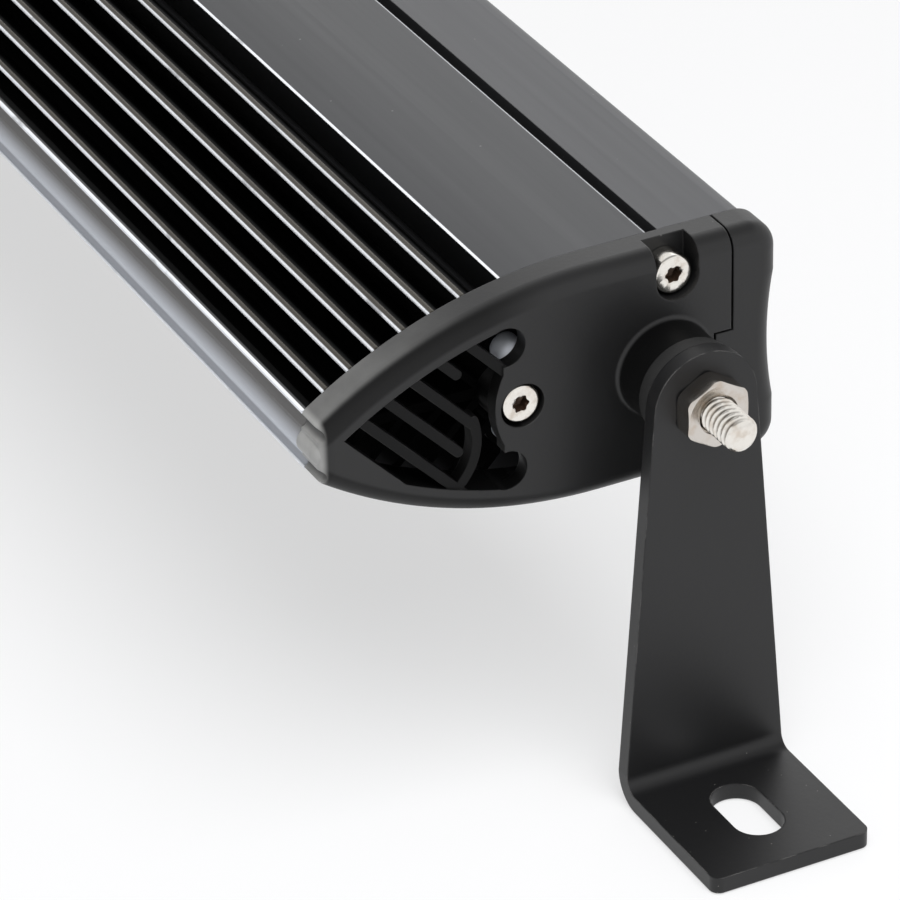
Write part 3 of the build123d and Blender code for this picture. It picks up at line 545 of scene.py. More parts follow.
@dataclass(frozen=True)
class SheetCoat(Finish):
    """Black coating on bent sheet steel, with pale specks and light, worn cut edges."""

    name: str = "sheet_coat"
    colour: Colour = (0.0070, 0.0070, 0.0074)
    speck_colour: Colour = (0.40, 0.39, 0.37)
    worn_colour: Colour = (0.34, 0.33, 0.32)
    roughness: float = 0.35
    refraction: float = 1.45

    def shade(self, sheet: Sheet) -> Channel:
        """Adds the nodes.

        Args:
            sheet: the node tree.

        Returns:
            The surface shader.
        """
        rounded = sheet.rounded(0.40 * MM)
        peel = sheet.grain(1100.0, 3.0)
        clouds = sheet.grain(30.0, 3.0)
        patches = sheet.grain(220.0, 4.0)
        specks = sheet.specks(620.0, 0.09, 0.02).highest(sheet.specks(1700.0, 0.20, 0.02))
        worn = sheet.edge(rounded).step(0.06, 0.40) * patches.step(0.44, 0.60)
        tone = sheet.blend(clouds, self.colour, scaled(self.colour, 1.6))
        tone = sheet.blend(specks * 0.40, tone, self.speck_colour)
        tone = sheet.blend(worn * 0.5, tone, self.worn_colour)
        return sheet.surface({
            "Base Color": tone, "IOR": self.refraction,
            "Roughness": self.roughness + clouds * 0.09 + peel * 0.05,
            "Normal": sheet.bump(peel, 0.30, 0.05 * MM, Normal=rounded)})


@dataclass(frozen=True)
class Stainless(Finish):
    """Turned, pressed stainless steel, a faint warm stain, painted shade in thread roots."""

    name: str = "stainless"
    colour: Colour = (0.80, 0.77, 0.72)
    stain_colour: Colour = (0.45, 0.34, 0.24)
    edge_colour: Colour = (0.80, 0.79, 0.76)
    # painted shade in a thread's roots
    root_colour: Colour = (0.10, 0.085, 0.07)
    roughness: float = 0.13
    root_radius: float = 0.0
    thread_start: float = 271.0 * MM
    thread_end: float = 282.6 * MM

    def shade(self, sheet: Sheet) -> Channel:
        """Adds the nodes.

        Args:
            sheet: the node tree.

        Returns:
            The surface shader.
        """
        rounded = sheet.rounded(0.10 * MM)
        fine = sheet.grain(2600.0, 3.0)
        patches = sheet.grain(420.0, 3.0)
        tone = sheet.blend(patches.step(0.45, 0.75) * 0.45, self.colour, self.stain_colour)
        tone = sheet.blend(sheet.edge(rounded).step(0.1, 0.5) * 0.4, tone, self.edge_colour)
        if self.root_radius > 0.0:
            x, y, z = sheet.axes()
            out, rise = abs(x), z - AXIS_HEIGHT
            # painted shade in the thread's roots
            shaded_roots = 1.0 - (y * y + rise * rise).root().past(self.root_radius, -0.2, 0.2)
            threaded = out.past(self.thread_start, 0.0, 0.5) * (
                1.0 - out.past(self.thread_end, 0.0, 0.2))
            tone = sheet.blend(shaded_roots * threaded * 0.75, tone, self.root_colour)
        return sheet.surface({
            "Base Color": tone, "Metallic": 1.0,
            "Roughness": self.roughness + fine * 0.06 + patches * 0.06,
            "Normal": sheet.bump(fine, 0.2, 0.02 * MM, Normal=rounded)})


@dataclass(frozen=True)
class GrimySocket(Finish):
    """Dark brown inside the screws' sockets."""

    name: str = "grimy_socket"
    colour: Colour = (0.075, 0.045, 0.030)
    bright_colour: Colour = (0.26, 0.18, 0.13)
    roughness: float = 0.42

    def shade(self, sheet: Sheet) -> Channel:
        """Adds the nodes.

        Args:
            sheet: the node tree.

        Returns:
            The surface shader.
        """
        patches = sheet.grain(900.0, 3.0)
        return sheet.surface({
            "Base Color": sheet.blend(patches.step(0.5, 0.8), self.colour, self.bright_colour),
            "Metallic": 0.5, "Roughness": self.roughness + patches * 0.1})


@dataclass(frozen=True)
class Moulding(Finish):
    """Plain moulded or sintered part: rubber, plastic, ceramic, ferrite or wire sleeve."""

    name: str = "moulding"
    colour: Colour = (0.03, 0.03, 0.03)
    roughness: float = 0.45
    grain_scale: float = 1600.0
    cloud_scale: float = 90.0
    cloud_tone: float = 1.3
    cloud_dulling: float = 0.1
    relief: Pair = (0.25, 0.03 * MM)

    def shade(self, sheet: Sheet) -> Channel:
        """Adds the nodes.

        Args:
            sheet: the node tree.

        Returns:
            The surface shader.
        """
        fine = sheet.grain(self.grain_scale, 3.0)
        clouds = sheet.grain(self.cloud_scale)
        return sheet.surface({
            "Base Color": sheet.blend(clouds, self.colour, scaled(self.colour, self.cloud_tone)),
            "Roughness": self.roughness + clouds * self.cloud_dulling,
            "Normal": sheet.bump(fine, *self.relief, Normal=sheet.rounded(0.20 * MM))})


@dataclass(frozen=True)
class BareAluminium(Finish):
    """Bright turned aluminium of the locating pins."""

    name: str = "bare_aluminium"
    colour: Colour = (0.74, 0.77, 0.83)
    roughness: float = 0.50

    def shade(self, sheet: Sheet) -> Channel:
        """Adds the nodes.

        Args:
            sheet: the node tree.

        Returns:
            The surface shader.
        """
        fine = sheet.grain(1800.0, 3.0)
        clouds = sheet.grain(300.0)
        return sheet.surface({
            "Base Color": sheet.blend(clouds * 0.6, self.colour, scaled(self.colour, 0.6)),
            "Metallic": 0.15, "Roughness": self.roughness + fine * 0.12,
            "Normal": sheet.bump(fine, 0.5, 0.08 * MM)})


@dataclass(frozen=True)
class Plating(Finish):
    """Vacuum metallised plastic of the reflectors."""

    name: str = "metallised_plastic"
    colour: Colour = (0.88, 0.88, 0.89)
    roughness: float = 0.09

    def shade(self, sheet: Sheet) -> Channel:
        """Adds the nodes.

        Args:
            sheet: the node tree.

        Returns:
            The surface shader.
        """
        peel = sheet.grain(700.0)
        haze = sheet.grain(90.0, 3.0)
        return sheet.surface({
            "Base Color": sheet.blend(haze * 0.3, self.colour, scaled(self.colour, 0.85)),
            "Metallic": 1.0, "Roughness": self.roughness + haze * 0.05,
            "Normal": sheet.bump(peel, 0.12, 0.05 * MM)})


@dataclass(frozen=True)
class ClearLens(Finish):
    """Clear polycarbonate cover: it lets light straight through and mirrors more at a slant."""

    name: str = "clear_lens"
    tint: Colour = (0.96, 0.97, 0.97)
    mirror: Colour = (0.80, 0.82, 0.83)
    hazy_mirror: Colour = (0.88, 0.89, 0.90)
    roughness: float = 0.03
    refraction: float = 1.55

    def shade(self, sheet: Sheet) -> Channel:
        """Adds the nodes.

        Args:
            sheet: the node tree.

        Returns:
            The surface shader.
        """
        haze = sheet.grain(60.0)
        gloss = sheet.node("ShaderNodeFresnel", None, {"IOR": self.refraction})
        clear = sheet.node("ShaderNodeBsdfTransparent", None, {"Color": self.tint})
        skin = sheet.surface({
            "Base Color": sheet.blend(haze, self.mirror, self.hazy_mirror),
            "Metallic": 1.0, "Roughness": self.roughness + haze * 0.03})
        return sheet.node("ShaderNodeMixShader", None, {0: gloss + 0.01, 1: clear, 2: skin})


@dataclass(frozen=True)
class Board(Finish):
    """Circuit board: solder mask with the faint relief of its tracks."""

    name: str = "board_white"
    colour: Colour = (0.78, 0.78, 0.75)
    track_colour: Colour = (0.70, 0.69, 0.62)
    roughness: float = 0.38
    tracks_per_metre: float = 160.0

    def shade(self, sheet: Sheet) -> Channel:
        """Adds the nodes.

        Args:
            sheet: the node tree.

        Returns:
            The surface shader.
        """
        weave = sheet.grain(800.0)
        black, white = (0.0, 0.0, 0.0), (1.0, 1.0, 1.0)
        tracks = sheet.node("ShaderNodeTexBrick", None, {
            "Vector": sheet.stretched((self.tracks_per_metre,) * 3), "Scale": 1.0,
            "Color1": black, "Color2": black, "Mortar": white, "Mortar Size": 0.03})
        tone = sheet.blend(tracks, self.colour, self.track_colour)
        tone = sheet.blend(weave * 0.25, tone, scaled(self.colour, 0.85))
        return sheet.surface({
            "Base Color": tone, "Roughness": self.roughness + weave * 0.1,
            "Normal": sheet.bump(tracks, 0.3, 0.05 * MM)})


@dataclass(frozen=True)
class LedDome(Finish):
    """Clear silicone dome over a square of yellow phosphor."""

    name: str = "led_silicone"
    phosphor: Colour = (0.86, 0.66, 0.10)
    edge_colour: Colour = (0.80, 0.79, 0.70)
    base_y: float = 0.5 * MM

    def shade(self, sheet: Sheet) -> Channel:
        """Adds the nodes.

        Args:
            sheet: the node tree.

        Returns:
            The surface shader.
        """
        fine = sheet.grain(900.0)
        near = (self.base_y - sheet.axes()[1]).past(0.0, 0.9, 1.6)
        tone = sheet.blend(near, self.edge_colour, self.phosphor)
        tone = sheet.blend(fine * 0.2, tone, self.phosphor)
        return sheet.surface({
            "Base Color": tone, "Roughness": 0.12 + fine * 0.06, "Coat Weight": 1.0,
            "Coat Roughness": 0.03})


def rubber(name: str, colour: Colour) -> Moulding:
    """Moulded rubber, dull, with a fine dusty grain."""
    return Moulding(name, colour, 0.52, 2400.0, 120.0, 2.2, 0.12, (0.3, 0.04 * MM))


ANODISED_HOUSING = BlackAnodising()
ANODISED_RAIL = BlackAnodising("black_anodising_rail", (0.066, 0.067, 0.071), bare_edges=False)
CASTING = CastCoat()
BRACKET_COAT = SheetCoat()
STAINLESS = Stainless()
THREAD_STEEL = Stainless("stainless_thread", root_radius=2.75 * MM)
# darker copy of the stainless for the nut: painted shade on its mirrored face
NUT_STEEL = Stainless("stainless_nut", (0.60, 0.565, 0.525))
SOCKET = GrimySocket()
PIN_METAL = BareAluminium()
BLACK_RUBBER = rubber("black_rubber", (0.011, 0.011, 0.011))
GREY_RUBBER = rubber("grey_rubber", (0.05, 0.05, 0.052))
REFLECTOR_PLATING = Plating()
LENS_PLASTIC = ClearLens()
WHITE_BOARD = Board()
GREEN_BOARD = Board("board_green", (0.02, 0.13, 0.05), (0.06, 0.22, 0.08))
CERAMIC = Moulding("led_ceramic", (0.70, 0.69, 0.65), 0.5)
DOME = LedDome()
BLACK_PLASTIC = Moulding("component_black", (0.018, 0.018, 0.019))
GREY_PLASTIC = Moulding("component_grey", (0.16, 0.16, 0.17), 0.38)
RED_SLEEVE = Moulding("wire_red", (0.42, 0.02, 0.015), 0.42)
GLAND_PLASTIC = Moulding("gland_plastic", (0.02, 0.02, 0.021), 0.40)


# Mesh building

Looks = tuple[tuple[Finish, tuple[str, ...]], ...]
Loop = list[bmesh.types.BMVert]
Varying = Union[float, Callable[[float], float]]
FORWARDS = Matrix(((0, 1, 0, 0), (-1, 0, 0, 0), (0, 0, 1, 0), (0, 0, 0, 1)))
FORWARDS_MIRRORED = Matrix(((0, -1, 0, 0), (-1, 0, 0, 0), (0, 0, 1, 0), (0, 0, 0, 1)))
DOWNWARDS = Matrix(((0, 1, 0, 0), (0, 0, 1, 0), (-1, 0, 0, 0), (0, 0, 0, 1)))


def add_object(name: str, data: bpy.types.ID) -> bpy.types.Object:
    """Puts an object into the scene.

    Args:
        name: its name.
        data: its mesh, lamp or camera.

    Returns:
        The object.
    """
    made = bpy.data.objects.new(name, data)
    bpy.context.scene.collection.objects.link(made)
    return made


def middle(low: Vector, high: Vector) -> Point:
    """Middle of a box."""
    return tuple((first + last) / 2 for first, last in zip(low, high))


def reach(low: Vector, high: Vector) -> list[float]:
    """A box's inner and outer distance from the bar's middle."""
    return sorted((abs(low.x), abs(high.x)))


def outward(side: Side, x: float, y: float, z: float) -> Matrix:
    """Frame at a distance x from the bar's middle, whose local +X points out of that end."""
    return Matrix.Translation((side.value * x, y, z)) @ Matrix.Diagonal((side.value, 1.0, 1.0, 1.0))


def quarter(steps: int) -> list[Pair]:
    """Sines and cosines along a quarter turn."""
    angles = [math.pi / 2 * index / steps for index in range(steps + 1)]
    return [(math.sin(angle), math.cos(angle)) for angle in angles]


def hexagon(angle: float, half_flats: float) -> float:
    """Radius of a hexagon's outline at an angle, from half its size across flats."""
    return half_flats / math.cos((angle - math.pi / 6) % (math.pi / 3) - math.pi / 6)


def dress(node: str, finish: Finish) -> None:
    """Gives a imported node, which keeps its shape, its finish.

    Args:
        node: the node's name.
        finish: what it looks like.
    """
    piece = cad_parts[node]
    if not piece.material_slots:
        piece.data.materials.append(finish.material())
    for slot in piece.material_slots:
        slot.material = finish.material()
    LOG.info("%s: %s", node, finish.name)


class Shape:
    """Collects one piece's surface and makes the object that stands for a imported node."""

    def __init__(self, node: str) -> None:
        """Starts empty, for the node that the piece stands for."""
        self.node = node
        self.mesh = bmesh.new()

    def loop(self, points: Iterable[Vector]) -> Loop:
        """Adds a closed ring of points."""
        return [self.mesh.verts.new(point) for point in points]

    def skin(self, loops: Sequence[Loop], marked: bool = False) -> None:
        """Joins neighbouring rings, each to the next, with quads.

        Args:
            loops: the rings.
            marked: whether the faces take the piece's second finish.
        """
        for lower, upper in zip(loops, loops[1:]):
            for index in range(len(lower)):
                after = (index + 1) % len(lower)
                face = self.mesh.faces.new((lower[index], lower[after], upper[after], upper[index]))
                face.material_index = int(marked)

    def close(self, *loops: Loop, marked: bool = False) -> None:
        """Fills rings with fans round their middles.

        Args:
            loops: the rings.
            marked: whether the faces take the piece's second finish.
        """
        for loop in loops:
            centre = self.mesh.verts.new(sum((v.co for v in loop), Vector()) / len(loop))
            for index, vertex in enumerate(loop):
                face = self.mesh.faces.new((vertex, loop[(index + 1) % len(loop)], centre))
                face.material_index = int(marked)

    def finish(self, body: Body, slot: str, finish: Finish, smooth: float = 32.0,
               second: Optional[Finish] = None) -> None:
        """Makes the object.

        Args:
            body: what it rides on.
            slot: the record's material slot; not used.
            finish: its finish.
            smooth: edges sharper than this many degrees stay sharp.
            second: the finish of the marked faces.
        """
        bmesh.ops.recalc_face_normals(self.mesh, faces=self.mesh.faces)
        data = bpy.data.meshes.new(f"{self.node}.detail")
        self.mesh.to_mesh(data)
        self.mesh.free()
        data.shade_smooth()
        data.set_sharp_from_angle(angle=math.radians(smooth))
        data.materials.append(finish.material())
        if second is not None:
            data.materials.append(second.material())
        piece = add_object(f"{self.node}.detail", data)
        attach(piece, body.value)
        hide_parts(self.node)
        LOG.info("%s: %d faces", piece.name, len(data.polygons))


@dataclass
class Lathe:
    """Turns rings of a shape round the local +X of a frame."""

    shape: Shape
    place: Matrix
    segments: int

    def ring(self, along: Varying, radius: Varying) -> Loop:
        """Adds one ring.

        Args:
            along: its place on the axis, or what gives it for an angle.
            radius: its radius, or what gives it for an angle.

        Returns:
            The ring, not yet joined.
        """
        points = []
        for index in range(self.segments):
            angle = 2 * math.pi * index / self.segments
            at, out = (part(angle) if callable(part) else part for part in (along, radius))
            points.append(self.place @ Vector((at, out * math.cos(angle), out * math.sin(angle))))
        return self.shape.loop(points)

    def turn(self, profile: Iterable[tuple[Varying, Varying]], closed: bool = False) -> list[Loop]:
        """Turns a profile.

        Args:
            profile: (along, radius) pairs.
            closed: whether the last ring joins the first.

        Returns:
            The rings, joined.
        """
        loops = [self.ring(along, radius) for along, radius in profile]
        self.shape.skin(loops + loops[:1] if closed else loops)
        return loops


@dataclass
class Thread:
    """Screw thread of a bolt or screw, cut as a helix."""

    major: float
    pitch: float
    steps: int
    point: float = 0.6 * MM
    depth_share: float = 0.61
    root_flat: float = 0.10
    flank: float = 0.72

    def radius_at(self, angle: float, station: float, start: float, end: float) -> float:
        """Radius of the thread.

        Args:
            angle: where round the axis.
            station: where along the axis.
            start: where the thread starts.
            end: the threaded end.

        Returns:
            The radius, with the end pointed.
        """
        phase = (station / self.pitch - angle / (2 * math.pi)) % 1.0
        crest = min(1.0, max(0.0, (abs(2 * phase - 1.0) - self.root_flat) / self.flank))
        radius = self.major - self.depth_share * self.pitch * (1.0 - crest)
        runout = min(1.0, abs(station - start) / self.pitch)
        radius = radius * runout + self.major * (1.0 - runout)
        return min(radius, self.major - self.point + abs(end - station))

    def add(self, lathe: Lathe, start: float, end: float) -> None:
        """Adds the threaded length and its closed end.

        Args:
            lathe: what turns it.
            start: where the thread starts along local X.
            end: where it ends.
        """
        count = max(2, int(round(abs(end - start) / self.pitch * self.steps)))
        stations = [start + (end - start) * index / count for index in range(count + 1)]
        loops = lathe.turn(
            (station, lambda angle, at=station: self.radius_at(angle, at, start, end))
            for station in stations)
        lathe.shape.close(loops[-1])


# Sub-assemblies


@dataclass
class Dressed:
    """A sub-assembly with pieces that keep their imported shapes, by finish."""

    side: Optional[Side] = None
    finishes: Looks = ()

    def build(self) -> None:
        """Gives each of those pieces its finish."""
        end = "" if self.side is None else f"_{self.side.word}"
        for finish, nodes in self.finishes:
            for node in nodes:
                dress(node + end, finish)


@dataclass
class Extrusions(Dressed):
    """Finned housing and the two bezel rails."""

    finishes: Looks = (
        (ANODISED_HOUSING, ("heatsink_housing",)),
        (ANODISED_RAIL, ("bezel_rail_top", "bezel_rail_bottom")))


@dataclass
class Driver(Dressed):
    """Driver board, its components and the wires to the LED boards."""

    finishes: Looks = (
        (GREEN_BOARD, ("driver_board",)), (GREY_PLASTIC, ("driver_inductors",)),
        (BLACK_PLASTIC, ("driver_capacitors", "driver_chips")),
        (RED_SLEEVE, ("feed_wires",)), (BLACK_RUBBER, ("wire_grommet",)))


@dataclass
class EndCap(Dressed):
    """Cast end cap, its front end piece and its gasket at one end of the bar."""

    finishes: Looks = (
        (CASTING, ("end_cap", "front_end")), (BLACK_RUBBER, ("end_gasket",)))


@dataclass
class Bracket(Dressed):
    """Bent steel bracket with a slotted foot."""

    finishes: Looks = ((BRACKET_COAT, ("bracket",)),)


@dataclass
class Pivot:
    """Through bolt, hexagon nut and rubber washer at one end of the bar."""

    side: Side
    bolt_radius: float = 3.175 * MM
    pitch: float = 1.27 * MM
    shank_end: float = 2.0 * MM
    flats: float = 11.1 * MM
    land_inset: float = 0.15 * MM
    countersink: Pair = (0.45 * MM, 0.4 * MM)
    nut_chamfer: float = math.radians(24.0)
    corner_cut: float = 0.3 * MM
    head_height: float = 4.2 * MM
    head_clearance: float = 0.02 * MM
    washer_clearance: float = 0.1 * MM
    washer_rounding: float = 0.7 * MM
    washer_lip: Pair = (2.2 * MM, 2.5 * MM)
    washer_mouth: Pair = (0.8 * MM, 0.5 * MM)
    washer_recess: float = 0.15 * MM
    segments: int = 96
    shank_segments: int = 40
    thread_segments: int = 56

    def span(self, node: str) -> tuple[float, float, float, float]:
        """Where a piece of the pivot is.

        Args:
            node: the node's name without its end.

        Returns:
            Its inner and outer distance from the bar's middle, and its axis in y and z.
        """
        low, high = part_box(f"{node}_{self.side.word}")
        return (*reach(low, high), *middle(low, high)[1:])

    def flank(self, angle: float) -> float:
        """Radius of the nut's side at an angle, with its corners cut."""
        half = self.flats / 2
        return min(hexagon(angle, half), 2 * half / math.sqrt(3.0) - self.corner_cut)

    def drop(self, angle: float) -> float:
        """How far the nut's chamfer falls between its land and its side, at an angle."""
        land = self.flats / 2 - self.land_inset
        return (self.flank(angle) - land) * math.tan(self.nut_chamfer)

    def build_nut(self) -> None:
        """Hexagon nut: flats, faces chamfered to a cone, countersunk threaded bore."""
        inner, outer, y, z = self.span("pivot_nut")
        height = outer - inner
        shape = Shape(f"pivot_nut_{self.side.word}")
        land = self.flats / 2 - self.land_inset
        sink_depth, sink_width = self.countersink
        mouth = self.bolt_radius + sink_width
        Lathe(shape, outward(self.side, inner, y, z), self.segments).turn([
            (height - sink_depth, self.bolt_radius), (height, mouth), (height, land),
            (lambda angle: height - self.drop(angle), self.flank), (self.drop, self.flank),
            (0.0, land), (0.0, mouth), (sink_depth, self.bolt_radius)], closed=True)
        shape.finish(Body.BAR, "stainless", NUT_STEEL, 24.0)

    def build_bolt(self) -> None:
        """Hexagon-headed bolt, threaded from the bracket outwards."""
        inner, outer, y, z = self.span("pivot_bolt")
        thread_start = self.span("pivot_nut")[0] - self.shank_end
        shape = Shape(f"pivot_bolt_{self.side.word}")
        place = outward(self.side, 0.0, y, z)
        half = self.flats / 2 - self.head_clearance
        seat = inner + self.head_height
        shape.close(*Lathe(shape, place, self.segments).turn(
            (along, lambda angle: hexagon(angle, half)) for along in (inner, seat)))
        shank = Lathe(shape, place, self.shank_segments).turn([
            (seat, self.bolt_radius), (thread_start, self.bolt_radius)])
        shape.close(shank[0])
        Thread(self.bolt_radius, self.pitch, steps=10).add(
            Lathe(shape, place, self.thread_segments), thread_start, outer)
        shape.finish(Body.BAR, "stainless", THREAD_STEEL, 50.0)

    def build_washer(self) -> None:
        """Moulded rubber washer with rounded rims and a shallow recess in its outer face."""
        inner, outer, y, z = self.span("pivot_washer")
        low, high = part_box(f"pivot_washer_{self.side.word}")
        radius = (high.y - low.y) / 2
        bore = self.bolt_radius + self.washer_clearance
        thick = outer - inner
        rim = self.washer_rounding
        back_rim = rim * 0.5
        lip, well = self.washer_lip
        mouth_floor, mouth = self.washer_mouth
        floor = thick - self.washer_recess
        profile = [(0.0, bore), (0.0, radius - back_rim)]
        profile += [(back_rim * (1 - cosine), radius - back_rim * (1 - sine))
                    for sine, cosine in quarter(4)]
        profile += [(thick - rim * (1 - sine), radius - rim * (1 - cosine))
                    for sine, cosine in quarter(6)]
        profile += [(thick, radius - lip), (floor, radius - well), (floor, bore + mouth_floor),
                    (thick, bore + mouth), (thick, bore)]
        shape = Shape(f"pivot_washer_{self.side.word}")
        Lathe(shape, outward(self.side, inner, y, z), self.segments).turn(profile, closed=True)
        shape.finish(Body.BAR, "black_rubber", BLACK_RUBBER)

    def build(self) -> None:
        """Builds the nut, the bolt and the washer."""
        self.build_nut()
        self.build_bolt()
        self.build_washer()


@dataclass
class CapScrews:
    """Three socket-head cap screws that hold an end cap."""

    side: Side
    head_radius: float = 3.5 * MM
    head_height: float = 4.0 * MM
    head_rounding: float = 0.55 * MM
    head_bevel: float = 0.1 * MM
    length: float = 20.0 * MM
    radius: float = 2.0 * MM
    pitch: float = 0.7 * MM
    point: float = 0.4 * MM
    socket_radius: float = 1.38 * MM
    socket_lobe: float = 0.14 * MM
    socket_bevel: float = 0.12 * MM
    socket_depth: float = 2.2 * MM
    socket_point: Pair = (0.5 * MM, 0.2 * MM)
    front_seat: Point = (-2.5 * MM, 15.9 * MM, 252.1 * MM)
    middle_seat: Point = (26.5 * MM, 0.0, 253.0 * MM)
    segments: int = 72
    thread_segments: int = 20

    def lobed(self, angle: float) -> float:
        """Radius of the six-lobed socket at an angle."""
        return self.socket_radius + self.socket_lobe * math.cos(6 * angle)

    def add_screw(self, shape: Shape, place: Matrix) -> None:
        """Adds one screw, its seat at the local origin and its head towards +X.

        Args:
            shape: the piece that holds all three.
            place: puts the screw into the frame.
        """
        top, rim = self.head_height, self.head_rounding
        floor = top - self.socket_depth
        point_depth, point_radius = self.socket_point
        lathe = Lathe(shape, place, self.segments)
        head = [(0.0, self.radius), (0.0, self.head_radius - self.head_bevel),
                (self.head_bevel, self.head_radius)]
        head += [(top - rim * (1 - sine), self.head_radius - rim * (1 - cosine))
                 for sine, cosine in quarter(4)]
        head.append((top, self.socket_radius + self.socket_lobe + self.socket_bevel))
        loops = lathe.turn(head)
        walls = [lathe.ring(top - self.socket_bevel, self.lobed), lathe.ring(floor, self.lobed),
                 lathe.ring(floor - point_depth, point_radius)]
        shape.skin([loops[-1], walls[0]])
        shape.skin(walls, marked=True)
        shape.close(walls[-1], marked=True)
        Thread(self.radius, self.pitch, steps=6, point=self.point).add(
            Lathe(shape, place, self.thread_segments), 0.0, -self.length)

    def build(self) -> None:
        """Builds the three screws as one piece."""
        shape = Shape(f"cap_screws_{self.side.word}")
        low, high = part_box(f"cap_screws_{self.side.word}")
        axis = (low.z + high.z) / 2
        y, z, x = self.front_seat
        for seat_y, seat_z, seat_x in ((y, z, x), (y, -z, x), self.middle_seat):
            self.add_screw(shape, outward(self.side, seat_x, seat_y, axis + seat_z))
        shape.finish(Body.BAR, "stainless", STAINLESS, 28.0, SOCKET)


@dataclass
class LocatingPins:
    """Two round-ended pins that line up an end cap with the housing."""

    side: Side
    bevel: float = 0.3 * MM
    crown_share: float = 0.6
    centres: Pair = (0.25 * MM, 0.2 * MM)
    segments: int = 48

    def build(self) -> None:
        """Builds both pins as one piece."""
        node = f"locating_pins_{self.side.word}"
        low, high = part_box(node)
        inner, outer = reach(low, high)
        radius = (high.y - low.y) / 2
        crown = radius * self.crown_share
        profile = [(inner, self.centres[0]), (inner, radius - self.bevel),
                   (inner + self.bevel, radius)]
        profile += [(outer - crown * (1 - sine), radius - crown * (1 - cosine))
                    for sine, cosine in quarter(8)]
        profile.append((outer, self.centres[1]))
        shape = Shape(node)
        for z in (low.z + radius, high.z - radius):
            place = outward(self.side, 0.0, (low.y + high.y) / 2, z)
            loops = Lathe(shape, place, self.segments).turn(profile)
            shape.close(loops[0], loops[-1])
        shape.finish(Body.BAR, "bare_aluminium", PIN_METAL)


